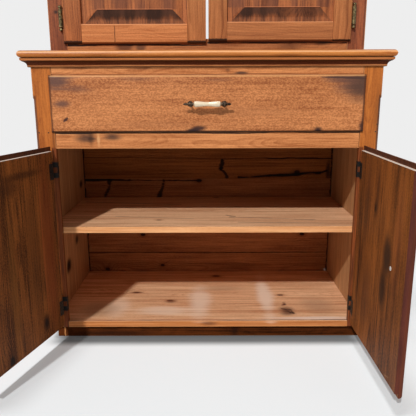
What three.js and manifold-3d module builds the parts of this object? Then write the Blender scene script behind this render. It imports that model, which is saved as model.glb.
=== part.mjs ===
// A step back cupboard in pine: a deep lower case with a drawer and a pair of lipped doors,
// and a shallower upper case with a pair of raised panel doors standing on its counter.
// Millimetres, +Z up. The front faces -Y and the back stands against a wall at +Y.
import * as THREE from 'three';
import { mergeVertices } from 'three/addons/utils/BufferGeometryUtils.js';
import Module from 'manifold-3d';

const wasm = await Module();
wasm.setup();

// Stock, and the clearance that every fitted piece keeps from its neighbour
const stock = 19;
const backStock = 12;
const drawerStock = 12;
const drawerBottomStock = 6;
const seam = 0.3;

// Overall sizes
const caseWidth = 990;
const lowerDepth = 538;
const counterHeight = 866;
const setback = 232;
const upperCaseHeight = 1030;

// Face frames and joinery
const frameMember = 55;
const tenonLength = 28;
const tenonThickness = 6.5;
const tenonShoulder = 8;
const dadoDepth = 6;
const backRabbet = 9;

// The lower case stands on a set back base, and the front corners of its frame have a stopped chamfer
const baseHeight = 38;
const baseInset = 16;
const cornerChamfer = 7;
const chamferDrop = 105;

// Heights in the lower case
const drawerOpening = 141;
const shelfHeightShare = 0.5584;
const backJointShares = [0.1606, 0.5077];

// Heights in the upper case, above the counter
const upperSillHeight = 48.5;
const upperHeadMember = 80;
const upperShelves = 2;
const upperBackJoint = 14;

// Counter, mouldings and top
const counterOverhang = 28.6;
const moulding = { height: 25, projection: 20.4, bead: 6.4, beadHeight: 5, filletHeight: 7 };
const cornice = { height: 52, projection: 42, bead: 10, beadHeight: 8, filletHeight: 10 };
const topOverhang = 54;
const beadFlatShare = 0.7;
const coveShare = 0.92;
const edgeSteps = 6;
const coveSteps = 6;

// Lipped doors and drawer front
const lip = 9.5;
const lipRadius = 7;
const lipOverlay = 9.5;
const lipSteps = 4;
const doorClearance = 2.7;
const doorStandOff = 3.2;
const meetingGap = 3;
const lowerDoorHeadOverlay = 8;
const lowerDoorFootOverlay = 10.5;
const drawerSideOverlay = 7;
const drawerEdgeOverlay = 8.5;
const lowerDoorTurnShares = { left: 0.288889, right: 0.251389 };

// Upper doors
const doorMember = 58;
const upperMeetingGap = 8;
const upperDoorFootOverlay = { left: 15, right: 9.5 };
const panelTongue = 8;
const tongueFront = 10;
const tongueThickness = 5;
const panelMargin = 14;
const panelBevel = 28;
const panelStep = 1.6;
const panelRelief = 1.5;
const panelBack = 2;

// Hinges
const hinge = {
  radius: 4.8, leafHeight: 46, leaf: 0.8, pinRadius: 2.2, pinClearance: 0.35, doorLeafReach: 20, frameLeafReach: 15,
  collar: 5.6, collarHeight: 3.6, neck: 2.8, neckLength: 2.6, ball: 4.6, sides: 16, ballSteps: 5,
};
const lowerHingeInset = 70;
const upperHingeInset = 75;

// Drawer
const drawerDepth = 440;
const drawerSideClearance = 3;
const drawerHeadClearance = 3;
const drawerSideDrop = 8;
const drawerGroove = 5;
const drawerBottomRise = 10;
const drawerLap = 12;
const runnerLedge = 20;
const runnerDrop = 22;
const guideHeight = 26;
const guideClearance = 1;

// Pull
const pull = {
  gripLength: 76, gripRadius: 8.1, waistRadius: 5.9, collarRadius: 4.4, rodRadius: 2.6, boreClearance: 0.35,
  postSpacing: 96, postRadius: 3.4, footRadius: 8, footHeight: 3, reach: 27, headRadius: 7, tipRadius: 5.2,
  tipOffset: 14.5, shankRadius: 2.4, shankClearance: 0.4, sides: 20,
};

const gripShares = [0.4, 0.72, 0.9, 1];
const tipNeckShare = 1.2;

// What follows from the driving sizes
const halfWidth = caseWidth / 2;
const halfInside = halfWidth - stock;
const halfOpening = halfWidth - frameMember;
const carcassHead = counterHeight - stock;
const drawerHead = carcassHead - frameMember;
const drawerSill = drawerHead - drawerOpening;
const doorwayHead = drawerSill - frameMember;
const bottomTop = baseHeight + stock;
const shelfTop = bottomTop + (doorwayHead - bottomTop) * shelfHeightShare;
const backFront = lowerDepth - backStock;
const upperFloor = counterHeight + upperSillHeight;
const upperHead = counterHeight + upperCaseHeight;
const upperDoorwayHead = upperHead - upperHeadMember;

const pine = new THREE.MeshStandardMaterial({ color: 0xb5723c, roughness: 0.5, metalness: 0 });
const rawPine = new THREE.MeshStandardMaterial({ color: 0xc79a68, roughness: 0.8, metalness: 0 });
const agedPine = new THREE.MeshStandardMaterial({ color: 0x5a331c, roughness: 0.75, metalness: 0 });
const brass = new THREE.MeshStandardMaterial({ color: 0x8a7648, roughness: 0.4, metalness: 1 });
const blackIron = new THREE.MeshStandardMaterial({ color: 0x1c1a18, roughness: 0.6, metalness: 0.8 });
const ceramic = new THREE.MeshStandardMaterial({ color: 0xf3e3c3, roughness: 0.2, metalness: 0 });

const cupboard = new THREE.Group();
cupboard.position.y = backStock / 2 - lowerDepth;

function place(group, name, material, geometry) {
  const mesh = new THREE.Mesh(geometry, material);
  mesh.name = name;
  group.add(mesh);
  return mesh;
}

// A block between two corners, given as ranges along x, y and z
function block([x0, x1], [y0, y1], [z0, z1]) {
  const geometry = new THREE.BoxGeometry(Math.abs(x1 - x0), Math.abs(y1 - y0), Math.abs(z1 - z0));
  return geometry.translate((x0 + x1) / 2, (y0 + y1) / 2, (z0 + z1) / 2);
}

// A range on one side of mid-width: side is -1 for the left and +1 for the right
function mirrored(side, near, far) {
  return side < 0 ? [-far, -near] : [near, far];
}

function solidOf(geometry) {
  const bare = geometry.clone();
  bare.deleteAttribute('normal');
  bare.deleteAttribute('uv');
  const merged = mergeVertices(bare, 1e-4);
  const triVerts = [];
  for (let i = 0; i < merged.index.count; i += 3) {
    const face = [0, 1, 2].map((corner) => merged.index.getX(i + corner));
    if (new Set(face).size === 3) triVerts.push(...face);
  }
  return new wasm.Manifold(new wasm.Mesh({
    numProp: 3,
    vertProperties: merged.getAttribute('position').array,
    triVerts: new Uint32Array(triVerts),
  }));
}

function geometryOf(solid) {
  const { vertProperties, triVerts, numProp } = solid.getMesh();
  const corners = new Float32Array(triVerts.length * 3);
  triVerts.forEach((vertex, i) => {
    for (let axis = 0; axis < 3; axis += 1) corners[i * 3 + axis] = vertProperties[vertex * numProp + axis];
  });
  const geometry = new THREE.BufferGeometry();
  geometry.setAttribute('position', new THREE.BufferAttribute(corners, 3));
  geometry.computeVertexNormals();
  return geometry;
}

function joined(...geometries) {
  return geometryOf(geometries.map(solidOf).reduce((whole, next) => whole.add(next)));
}

function carved(geometry, ...cutters) {
  return geometryOf(cutters.map(solidOf).reduce((whole, next) => whole.subtract(next), solidOf(geometry)));
}

// A closed body through a row of rings with equal numbers of points, its ends closed by the outline
function loft(rings, outline) {
  const count = outline.length;
  const points = rings.flat();
  const faces = [];
  for (let r = 0; r + 1 < rings.length; r += 1) {
    for (let i = 0; i < count; i += 1) {
      const a = r * count + i;
      const b = r * count + (i + 1) % count;
      faces.push([a, b, b + count], [a, b + count, a + count]);
    }
  }
  const last = (rings.length - 1) * count;
  for (const [a, b, c] of THREE.ShapeUtils.triangulateShape(outline, [])) {
    const forward = THREE.ShapeUtils.isClockWise(outline) ? [a, b, c] : [a, c, b];
    faces.push(forward, forward.map((i) => i + last).reverse());
  }
  const facing = faces.reduce((sum, [a, b, c]) => sum + points[a].dot(points[b].clone().cross(points[c])), 0);
  const positions = faces.flatMap((face) => (facing < 0 ? [...face].reverse() : face))
    .flatMap((i) => points[i].toArray());
  const geometry = new THREE.BufferGeometry();
  geometry.setAttribute('position', new THREE.Float32BufferAttribute(positions, 3));
  geometry.computeVertexNormals();
  return geometry;
}

const squareOutline = [[0, 0], [1, 0], [1, 1], [0, 1]].map(([x, y]) => new THREE.Vector2(x, y));

// The four corners of an upright rectangle at one depth
function uprightRing([x0, x1], y, [z0, z1]) {
  return [[x0, z0], [x1, z0], [x1, z1], [x0, z1]].map(([x, z]) => new THREE.Vector3(x, y, z));
}

// A board with a lip: the front edges are rounded, and a rabbet behind them leaves a smaller back.
// Rabbets gives how far the back is cut in at each edge, and an edge left out stays square.
function lippedBoard([x0, x1], front, [z0, z1], { left = 0, right = 0, foot = 0, head = 0 }) {
  const round = lipRadius;
  const rings = [];
  for (let step = 0; step <= lipSteps; step += 1) {
    const angle = (step / lipSteps) * (Math.PI / 2);
    const inset = (rabbet) => (rabbet > 0 ? round * (1 - Math.sin(angle)) : 0);
    rings.push(uprightRing(
      [x0 + inset(left), x1 - inset(right)],
      front + round * (1 - Math.cos(angle)),
      [z0 + inset(foot), z1 - inset(head)],
    ));
  }
  rings.push(uprightRing([x0, x1], front + lip, [z0, z1]));
  const back = block([x0 + left, x1 - right], [front + lip / 2, front + stock], [z0 + foot, z1 - head]);
  return joined(loft(rings, squareOutline), back);
}

// A board lying flat whose front and side edges are half round and whose back edge is square
function bullnosedBoard(half, front, back, foot, thickness) {
  const radius = thickness / 2;
  const rings = [];
  for (let step = 0; step <= edgeSteps; step += 1) {
    const angle = (step / edgeSteps) * Math.PI - Math.PI / 2;
    const inset = radius * (1 - Math.cos(angle));
    const z = foot + radius * (1 + Math.sin(angle));
    rings.push([
      new THREE.Vector3(-half + inset, front + inset, z),
      new THREE.Vector3(half - inset, front + inset, z),
      new THREE.Vector3(half - inset, back, z),
      new THREE.Vector3(-half + inset, back, z),
    ]);
  }
  return loft(rings, squareOutline);
}

// The section of a cove moulding: out from the case, up from its foot
function covedSection({ height, projection, bead, beadHeight, filletHeight }) {
  const section = [
    [seam, 0],
    [bead * beadFlatShare, 0],
    [bead, beadHeight * (1 - beadFlatShare)],
    [bead, beadHeight * beadFlatShare],
  ];
  const riseOut = projection - bead;
  const riseUp = height - beadHeight - filletHeight;
  for (let step = 0; step <= coveSteps; step += 1) {
    const angle = (step / coveSteps) * (Math.PI / 2);
    section.push([bead + riseOut * coveShare * (1 - Math.cos(angle)), beadHeight + riseUp * Math.sin(angle)]);
  }
  section.push([projection, height - filletHeight], [projection, height - seam], [seam, height - seam]);
  return section.map(([out, up]) => new THREE.Vector2(out, up));
}

// A moulding's section carried past stations that each turn "out" into a place on the plan
function mouldingRun(section, foot, stations) {
  const rings = stations.map((station) => section.map(({ x: out, y: up }) => {
    const [x, y] = station(out);
    return new THREE.Vector3(x, y, foot + up);
  }));
  return loft(rings, section);
}

// One stile, mortised for the rails that meet it
function stile(side, front, [foot, head], rails) {
  const width = mirrored(side, halfOpening, halfWidth);
  const mortises = rails.map(([low, high]) => block(
    mirrored(side, halfOpening - seam, halfOpening + tenonLength),
    [front + (stock - tenonThickness) / 2 - seam, front + (stock + tenonThickness) / 2 + seam],
    [low + tenonShoulder - seam, high - tenonShoulder + seam],
  ));
  return carved(block(width, [front, front + stock], [foot, head]), ...mortises);
}

// One rail between the stiles, with a tenon at each end
function rail(front, [low, high]) {
  const reach = halfOpening + tenonLength - seam;
  return joined(
    block([seam - halfOpening, halfOpening - seam], [front, front + stock], [low, high]),
    block(
      [-reach, reach],
      [front + (stock - tenonThickness) / 2, front + (stock + tenonThickness) / 2],
      [low + tenonShoulder, high - tenonShoulder],
    ),
  );
}

// One side board, with dadoes for the boards that lie between the sides and a rabbet for the back
function sideBoard(side, front, [foot, head], boardTops) {
  const dadoes = boardTops.map((top) => block(
    mirrored(side, halfInside - seam, halfInside + dadoDepth),
    [front - seam, backFront],
    [top - stock - seam, top + seam],
  ));
  const rabbetCut = block(
    mirrored(side, halfInside - seam, halfInside + backRabbet),
    [backFront - seam, lowerDepth + seam],
    [foot - seam, head + seam],
  );
  return carved(block(mirrored(side, halfInside, halfWidth), [front, lowerDepth], [foot, head]), rabbetCut, ...dadoes);
}

// A board lying between the sides, its ends in their dadoes
function dadoedBoard(front, top) {
  const reach = halfInside + dadoDepth - seam;
  return block([-reach, reach], [front, backFront - 2 * seam], [top - stock, top]);
}

// The chamfer's waste: a square bar set cornerwise on the front corner, its head cut to a slope
function chamferWaste(side) {
  const head = carcassHead - chamferDrop;
  const across = (out, z) => [
    new THREE.Vector3(side * (halfWidth - cornerChamfer + out), -out, z),
    new THREE.Vector3(side * (halfWidth + out), cornerChamfer - out, z),
    new THREE.Vector3(side * (halfWidth + cornerChamfer + out), -out, z),
    new THREE.Vector3(side * (halfWidth + out), -cornerChamfer - out, z),
  ];
  const stations = [across(0, baseHeight - seam), across(0, head - cornerChamfer), across(cornerChamfer, head)];
  return loft(stations, squareOutline);
}

// Lower case: base, sides, bottom, shelf, face frame and back
function addLowerCase(group) {
  const behindFrame = stock + seam;
  const foot = baseHeight + seam;
  const heights = [foot, carcassHead - seam];
  const topRail = [drawerHead, carcassHead - seam];
  const middleRail = [doorwayHead, drawerSill];
  for (const [name, side] of [['left', -1], ['right', 1]]) {
    place(group, `lower_side_${name}`, pine, sideBoard(side, behindFrame, heights, [bottomTop, shelfTop]));
    place(group, `lower_stile_${name}`, pine, carved(
      stile(side, 0, heights, [topRail, middleRail]),
      chamferWaste(side),
    ));
  }
  place(group, 'lower_top_rail', pine, rail(0, topRail));
  place(group, 'lower_middle_rail', pine, rail(0, middleRail));
  place(group, 'bottom_board', rawPine, joined(
    dadoedBoard(behindFrame, bottomTop),
    block([seam - halfOpening, halfOpening - seam], [0, behindFrame + stock], [bottomTop - stock, bottomTop]),
  ));
  place(group, 'lower_shelf', rawPine, dadoedBoard(behindFrame, shelfTop));
  const baseHalf = halfWidth - baseInset;
  const baseBack = backFront - 2 * seam;
  place(group, 'base', agedPine, carved(
    block([-baseHalf, baseHalf], [baseInset, baseBack], [0, baseHeight - seam]),
    block([stock - baseHalf, baseHalf - stock], [baseInset + stock, baseBack + stock], [-stock, bottomTop]),
  ));
  const reach = halfInside + backRabbet - seam;
  const joints = [0, ...backJointShares.map((share) => share * carcassHead), carcassHead];
  for (let i = 0; i + 1 < joints.length; i += 1) {
    place(group, `lower_back_board_${i + 1}`, rawPine, block(
      [-reach, reach],
      [backFront, lowerDepth],
      [joints[i], joints[i + 1] - seam],
    ));
  }
}

// Counter with its half round edge, and the cove moulding mitred round the head of the case
function addCounter(group) {
  place(group, 'counter_board', pine, bullnosedBoard(
    halfWidth + counterOverhang, -counterOverhang, lowerDepth, carcassHead, stock,
  ));
  const section = covedSection(moulding);
  const foot = carcassHead - moulding.height;
  const corner = (side, trim) => (out) => [side * (halfWidth + out - trim), -out];
  const mitre = (side) => (out) => [side * (halfWidth + out), seam - out];
  const returned = (side) => (out) => [side * (halfWidth + out), lowerDepth];
  const front = [corner(-1, seam), corner(1, seam)];
  place(group, 'counter_moulding_front', pine, mouldingRun(section, foot, front));
  for (const [name, side] of [['left', -1], ['right', 1]]) {
    place(group, `counter_moulding_${name}`, pine, mouldingRun(section, foot, [mitre(side), returned(side)]));
  }
}

// Upper case: it stands on the counter, set back from its front edge
function addUpperCase(group) {
  const front = setback + stock + seam;
  const foot = counterHeight + seam;
  const head = upperHead - seam;
  const shelfPitch = (upperDoorwayHead - upperFloor) / (upperShelves + 1);
  const shelfTops = Array.from({ length: upperShelves }, (_, i) => upperFloor + shelfPitch * (i + 1));
  const bottomRail = [foot, upperFloor];
  const topRail = [upperDoorwayHead, head];
  for (const [name, side] of [['left', -1], ['right', 1]]) {
    place(group, `upper_side_${name}`, pine, sideBoard(side, front, [foot, head], [upperFloor, ...shelfTops]));
    place(group, `upper_stile_${name}`, pine, stile(side, setback, [foot, head], [bottomRail, topRail]));
    place(group, `upper_back_board_${name}`, rawPine, block(
      mirrored(side, upperBackJoint / 2, halfInside + backRabbet - seam),
      [backFront, lowerDepth],
      [foot, head],
    ));
  }
  place(group, 'upper_bottom_rail', pine, rail(setback, bottomRail));
  place(group, 'upper_top_rail', pine, rail(setback, topRail));
  place(group, 'upper_bottom_board', rawPine, dadoedBoard(front, upperFloor));
  shelfTops.forEach((top, i) => place(group, `upper_shelf_${i + 1}`, rawPine, dadoedBoard(front, top)));
  place(group, 'top_board', pine, bullnosedBoard(
    halfWidth + topOverhang, setback - topOverhang, lowerDepth, upperHead, stock,
  ));
  const returned = (side) => (out) => [side * (halfWidth + out), lowerDepth];
  const corner = (side) => (out) => [side * (halfWidth + out), setback - out];
  place(group, 'cornice', pine, mouldingRun(
    covedSection(cornice), upperHead - cornice.height, [returned(-1), corner(-1), corner(1), returned(1)],
  ));
}

// A turned piece: its profile runs along the z axis from foot to head, as [radius, height] pairs
function turned(profile, sides) {
  const points = profile.map(([radius, height]) => new THREE.Vector2(radius, height));
  return new THREE.LatheGeometry(points, sides).rotateX(Math.PI / 2);
}

// The profile of a ball from near its foot to near its head
function ballProfile(radius, middle, steps) {
  return Array.from({ length: steps }, (_, i) => {
    const angle = ((i + 1) / (steps + 1)) * Math.PI;
    return [radius * Math.sin(angle), middle - radius * Math.cos(angle)];
  });
}

// A lipped door's hinge axis stands beside the lip, in front of the face frame
const hingeAxisX = halfOpening + lipOverlay + hinge.collar + seam;
const hingeAxisOut = doorStandOff + hinge.radius;

// The frame leaf of a hinge, with the outer knuckles, the pin and its ball ends. The leaf passes
// behind the door's lip and turns into the doorway, where it is screwed to the stile's edge.
function frameLeaf(side, front, middle) {
  const half = hinge.leafHeight / 2;
  const knuckle = hinge.leafHeight / 3;
  const ballFoot = half + hinge.collarHeight + hinge.neckLength;
  const upper = [
    [hinge.pinRadius, knuckle / 2 + seam],
    [hinge.radius, knuckle / 2 + seam],
    [hinge.radius, half],
    [hinge.collar, half + hinge.collarHeight / 2],
    [hinge.neck, half + hinge.collarHeight],
    [hinge.neck, ballFoot],
    ...ballProfile(hinge.ball, ballFoot + hinge.ball, hinge.ballSteps).slice(1),
    [0, ballFoot + hinge.ball * 2],
  ];
  const lower = upper.map(([radius, height]) => [radius, -height]).reverse();
  const barrel = turned([...lower, ...upper], hinge.sides)
    .translate(side * hingeAxisX, front - hingeAxisOut, middle);
  const plane = [front - seam - hinge.leaf, front - seam];
  const knuckleHeights = [[middle - half, middle - knuckle / 2 - seam], [middle + knuckle / 2 + seam, middle + half]];
  const tabs = knuckleHeights.flatMap((heights) => [
    block(mirrored(side, halfOpening - seam - hinge.leaf, hingeAxisX), plane, heights),
    block(
      mirrored(side, hingeAxisX - hinge.radius / 2, hingeAxisX + hinge.radius / 2),
      [front - hingeAxisOut, front - seam],
      heights,
    ),
  ]);
  const plate = block(
    mirrored(side, halfOpening - seam - hinge.leaf, halfOpening - seam),
    [front - seam - hinge.leaf, front + hinge.frameLeafReach],
    [middle - half, middle + half],
  );
  return joined(barrel, ...tabs, plate);
}

// The door leaf of a hinge: the middle knuckle, and a leaf that wraps the door's rabbet and lies on its back
function doorLeaf(side, front, middle) {
  const half = hinge.leafHeight / 2;
  const knuckle = hinge.leafHeight / 3;
  const heights = [middle - knuckle / 2 + seam, middle + knuckle / 2 - seam];
  const fullHeights = [middle - half, middle + half];
  const doorEdge = halfOpening - doorClearance;
  const doorBack = front - doorStandOff - lip + stock;
  const plane = [front - doorStandOff + seam, front - doorStandOff + seam + hinge.leaf];
  const knuckleBody = turned(
    [[0, heights[0]], [hinge.radius, heights[0]], [hinge.radius, heights[1]], [0, heights[1]]],
    hinge.sides,
  ).translate(side * hingeAxisX, front - hingeAxisOut, 0);
  const bore = turned([
    [0, heights[0] - hinge.radius],
    [hinge.pinRadius + hinge.pinClearance, heights[0] - hinge.radius],
    [hinge.pinRadius + hinge.pinClearance, heights[1] + hinge.radius],
    [0, heights[1] + hinge.radius],
  ], hinge.sides).translate(side * hingeAxisX, front - hingeAxisOut, 0);
  const wrapped = joined(
    knuckleBody,
    block(mirrored(side, hingeAxisX - hinge.radius, hingeAxisX), [front - hingeAxisOut, plane[1]], heights),
    block(mirrored(side, doorEdge + seam, hingeAxisX - hinge.radius / 2), plane, heights),
    block(mirrored(side, doorEdge + seam, halfOpening + lipOverlay), plane, fullHeights),
    block(
      mirrored(side, doorEdge + seam, doorEdge + seam + hinge.leaf),
      [plane[0], doorBack + seam + hinge.leaf],
      fullHeights,
    ),
    block(
      mirrored(side, doorEdge - hinge.doorLeafReach, doorEdge + seam + hinge.leaf),
      [doorBack + seam, doorBack + seam + hinge.leaf],
      fullHeights,
    ),
  );
  return carved(wrapped, bore);
}

// A door hangs in a group of its own at its hinge axis, so that it can stand open by a share of a full turn
function hungDoor(side, front, turnShare) {
  const group = new THREE.Group();
  group.position.set(side * hingeAxisX, front - hingeAxisOut, 0);
  group.rotation.z = side * turnShare * Math.PI * 2;
  const hang = (name, material, geometry) => place(
    group,
    name,
    material,
    geometry.translate(-group.position.x, -group.position.y, 0),
  );
  return { group, hang };
}

function addHinges(group, hang, side, front, door, heights) {
  for (const [level, middle] of Object.entries(heights)) {
    place(group, `${door}_hinge_${level}_frame_leaf`, brass, frameLeaf(side, front, middle));
    hang(`${door}_hinge_${level}_door_leaf`, blackIron, doorLeaf(side, front, middle));
  }
}

function doorRabbets(side, foot, head) {
  const hingeEdge = lipOverlay + doorClearance;
  return { left: side < 0 ? hingeEdge : 0, right: side > 0 ? hingeEdge : 0, foot, head };
}

// Lower doors: flat boards with a lip, standing open
function addLowerDoors(group) {
  for (const [name, side] of [['left', -1], ['right', 1]]) {
    const { group: door, hang } = hungDoor(side, 0, lowerDoorTurnShares[name]);
    const foot = bottomTop - lowerDoorFootOverlay;
    const head = doorwayHead + lowerDoorHeadOverlay;
    const rabbet = lipOverlay + doorClearance;
    hang(`lower_door_${name}`, agedPine, lippedBoard(
      mirrored(side, meetingGap / 2, halfOpening + lipOverlay),
      -doorStandOff - lip,
      [foot, head],
      doorRabbets(side, rabbet, rabbet),
    ));
    addHinges(group, hang, side, 0, `lower_door_${name}`, {
      bottom: foot + lowerHingeInset,
      top: head - lowerHingeInset,
    });
    group.add(door);
  }
}

// A raised panel: a tongue for the groove of its frame, a flat margin, a bevel and a raised field
function raisedPanel([x0, x1], front, [z0, z1]) {
  const tongue = front + tongueFront;
  const sections = [
    [panelTongue + seam, tongue + tongueThickness + panelBack],
    [panelTongue + seam, tongue + tongueThickness],
    [0, tongue + tongueThickness],
    [0, tongue],
    [panelTongue + panelMargin, tongue],
    [panelTongue + panelMargin + panelBevel, front + panelRelief + panelStep],
    [panelTongue + panelMargin + panelBevel, front + panelRelief],
  ];
  const rings = sections.map(([inset, y]) => uprightRing([x0 + inset, x1 - inset], y, [z0 + inset, z1 - inset]));
  return loft(rings, squareOutline);
}

// Upper doors: a glued and pegged frame of stiles and rails, grooved for its raised panel, shut
function addUpperDoors(group) {
  for (const [name, side] of [['left', -1], ['right', 1]]) {
    const { group: door, hang } = hungDoor(side, setback, 0);
    const front = setback - doorStandOff - lip;
    const footOverlay = upperDoorFootOverlay[name];
    const heights = [upperFloor - footOverlay, upperDoorwayHead + lipOverlay];
    const widths = mirrored(side, upperMeetingGap / 2, halfOpening + lipOverlay);
    const rabbet = lipOverlay + doorClearance;
    const within = (by) => [widths[0] + by, widths[1] - by];
    const opening = block(
      within(doorMember),
      [front - seam, front + stock + seam],
      [heights[0] + doorMember, heights[1] - doorMember],
    );
    const grooved = doorMember - panelTongue - seam;
    const groove = block(
      within(grooved),
      [front + tongueFront - seam, front + tongueFront + tongueThickness + seam],
      [heights[0] + grooved, heights[1] - grooved],
    );
    hang(`upper_door_${name}_frame`, pine, carved(
      lippedBoard(widths, front, heights, doorRabbets(side, footOverlay + doorClearance, rabbet)),
      opening,
      groove,
    ));
    const held = doorMember - panelTongue;
    hang(`upper_door_${name}_panel`, pine, raisedPanel(within(held), front, [heights[0] + held, heights[1] - held]));
    addHinges(group, hang, side, setback, `upper_door_${name}`, {
      bottom: heights[0] + upperHingeInset,
      top: heights[1] - upperHingeInset,
    });
    group.add(door);
  }
}

// Drawer with its lipped front, and the pair of runners that carry and guide it
function addDrawer(group) {
  const front = -lip - seam;
  const back = front + stock;
  const half = halfOpening - drawerSideClearance;
  const floor = drawerSill + seam;
  const sideHead = drawerHead - drawerSideDrop;
  const rear = front + drawerDepth;
  const bottomFoot = floor + drawerBottomRise;
  const grooveHeights = [bottomFoot - seam, bottomFoot + drawerBottomStock + seam];
  const middle = (drawerSill + drawerHead) / 2;
  const sideRange = (side) => mirrored(side, half - drawerStock, half);
  const notch = (side) => block(
    mirrored(side, half - drawerStock - seam, half + seam),
    [back - drawerLap, back + seam],
    [floor - seam, drawerHead],
  );
  const shankHole = (side) => turned([
    [0, 0], [pull.shankRadius + pull.shankClearance, 0],
    [pull.shankRadius + pull.shankClearance, stock * 2], [0, stock * 2],
  ], pull.sides).rotateX(-Math.PI / 2).translate(side * pull.postSpacing / 2, front - stock / 2, middle);
  const bottomGroove = block(
    [drawerStock - half - drawerGroove, half - drawerStock + drawerGroove],
    [front + stock - drawerGroove, rear],
    grooveHeights,
  );
  place(group, 'drawer_front', pine, carved(
    lippedBoard(
      [-halfOpening - drawerSideOverlay, halfOpening + drawerSideOverlay],
      front,
      [drawerSill - drawerEdgeOverlay, drawerHead + drawerEdgeOverlay],
      {
        left: drawerSideOverlay + drawerSideClearance,
        right: drawerSideOverlay + drawerSideClearance,
        foot: drawerEdgeOverlay + seam,
        head: drawerEdgeOverlay + drawerHeadClearance,
      },
    ),
    notch(-1), notch(1), shankHole(-1), shankHole(1), bottomGroove,
  ));
  for (const [name, side] of [['left', -1], ['right', 1]]) {
    place(group, `drawer_side_${name}`, rawPine, carved(
      block(sideRange(side), [back - drawerLap + seam, rear], [floor, sideHead]),
      bottomGroove,
    ));
    place(group, `drawer_runner_${name}`, rawPine, joined(
      block(
        mirrored(side, halfOpening - runnerLedge, halfInside - seam),
        [stock + seam, backFront - 2 * seam],
        [drawerSill - runnerDrop, drawerSill],
      ),
      block(
        mirrored(side, half + guideClearance, halfInside - seam),
        [stock + seam, backFront - 2 * seam],
        [drawerSill - runnerDrop, drawerSill + guideHeight],
      ),
    ));
  }
  place(group, 'drawer_back', rawPine, block(
    [drawerStock - half + seam, half - drawerStock - seam],
    [rear - drawerStock, rear],
    [grooveHeights[1], sideHead],
  ));
  const reach = half - drawerStock + drawerGroove - seam;
  place(group, 'drawer_bottom', rawPine, block(
    [-reach, reach],
    [front + stock - drawerGroove + seam, rear],
    [bottomFoot, bottomFoot + drawerBottomStock],
  ));
  addPull(group, front, middle);
}

// Bar pull: two posts and a rod with ball ends in metal, through a waisted ceramic grip
function addPull(group, front, height) {
  const along = (geometry) => geometry.rotateY(Math.PI / 2).translate(0, front - pull.reach, height);
  const halfGrip = pull.gripLength / 2;
  const halfRod = pull.postSpacing / 2 + pull.tipOffset;
  const ends = [1, -1].map((side) => {
    const tip = turned([
      [0, 0],
      [pull.rodRadius, 0],
      [pull.rodRadius, pull.tipOffset - pull.tipRadius * tipNeckShare],
      ...ballProfile(pull.tipRadius, pull.tipOffset, hinge.ballSteps),
      [0, pull.tipOffset + pull.tipRadius],
    ], pull.sides);
    const head = turned([
      [0, -pull.headRadius],
      ...ballProfile(pull.headRadius, 0, hinge.ballSteps),
      [0, pull.headRadius],
    ], pull.sides);
    return [along(tip.rotateX(side < 0 ? Math.PI : 0).translate(0, 0, side * pull.postSpacing / 2)),
      along(head.translate(0, 0, side * pull.postSpacing / 2))];
  }).flat();
  const rod = along(turned([
    [0, -halfRod], [pull.rodRadius, -halfRod], [pull.rodRadius, halfRod], [0, halfRod],
  ], pull.sides));
  const posts = [1, -1].map((side) => turned([
    [0, -stock], [pull.shankRadius, -stock], [pull.shankRadius, seam],
    [pull.footRadius, seam], [pull.footRadius, pull.footHeight], [pull.postRadius, pull.footHeight * 2],
    [pull.postRadius, pull.reach], [0, pull.reach],
  ], pull.sides).rotateX(Math.PI / 2).translate(side * pull.postSpacing / 2, front, height));
  place(group, 'pull_bar', brass, joined(rod, ...ends, ...posts));
  const bore = pull.rodRadius + pull.boreClearance;
  const gripRadii = [(pull.gripRadius + pull.waistRadius) / 2, pull.gripRadius, pull.gripRadius, pull.collarRadius];
  const gripHalf = gripRadii.map((radius, i) => [radius, gripShares[i]]);
  place(group, 'pull_grip', ceramic, along(turned([
    [bore, -halfGrip],
    ...gripHalf.map(([radius, share]) => [radius, -halfGrip * share]).reverse(),
    [pull.waistRadius, 0],
    ...gripHalf.map(([radius, share]) => [radius, halfGrip * share]),
    [bore, halfGrip],
    [bore, -halfGrip],
  ], pull.sides)));
}

addLowerCase(cupboard);
addCounter(cupboard);
addUpperCase(cupboard);
addLowerDoors(cupboard);
addUpperDoors(cupboard);
addDrawer(cupboard);

const part = new THREE.Group();
part.add(cupboard);

export default part;
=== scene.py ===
import math
import random

import bmesh
import bpy
from mathutils import Matrix, Vector


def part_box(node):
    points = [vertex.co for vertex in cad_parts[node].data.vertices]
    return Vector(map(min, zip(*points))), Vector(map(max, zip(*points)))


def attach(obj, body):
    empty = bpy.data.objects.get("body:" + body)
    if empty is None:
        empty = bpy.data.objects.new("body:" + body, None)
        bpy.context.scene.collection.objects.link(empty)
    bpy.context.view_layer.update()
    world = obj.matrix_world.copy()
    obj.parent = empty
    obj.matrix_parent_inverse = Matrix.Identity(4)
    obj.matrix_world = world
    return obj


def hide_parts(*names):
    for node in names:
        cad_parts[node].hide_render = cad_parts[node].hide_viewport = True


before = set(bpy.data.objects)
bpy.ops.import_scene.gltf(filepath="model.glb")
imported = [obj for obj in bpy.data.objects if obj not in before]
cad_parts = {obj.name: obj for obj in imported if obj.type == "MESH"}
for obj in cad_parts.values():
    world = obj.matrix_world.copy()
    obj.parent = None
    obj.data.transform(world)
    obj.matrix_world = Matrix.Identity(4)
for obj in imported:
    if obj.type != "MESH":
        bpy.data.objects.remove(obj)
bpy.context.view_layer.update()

bpy.context.scene.view_settings.view_transform = "Standard"

# The camera stands in front of the cupboard at about the drawer's height and looks down a little.
# Its place, turn and lens come from a fit to the straight edges in the photograph.
photo_width = 416
focal_length = 581.0
sensor_width = 36.0
camera_place = Vector((0.0036, -2.2382, 0.7609))
yaw, pitch, roll = (math.radians(angle) for angle in (-0.093, 15.516, -0.174))
camera_drop = 42.77


def added(name, data):
    obj = bpy.data.objects.new(name, data)
    bpy.context.scene.collection.objects.link(obj)
    return obj


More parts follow.
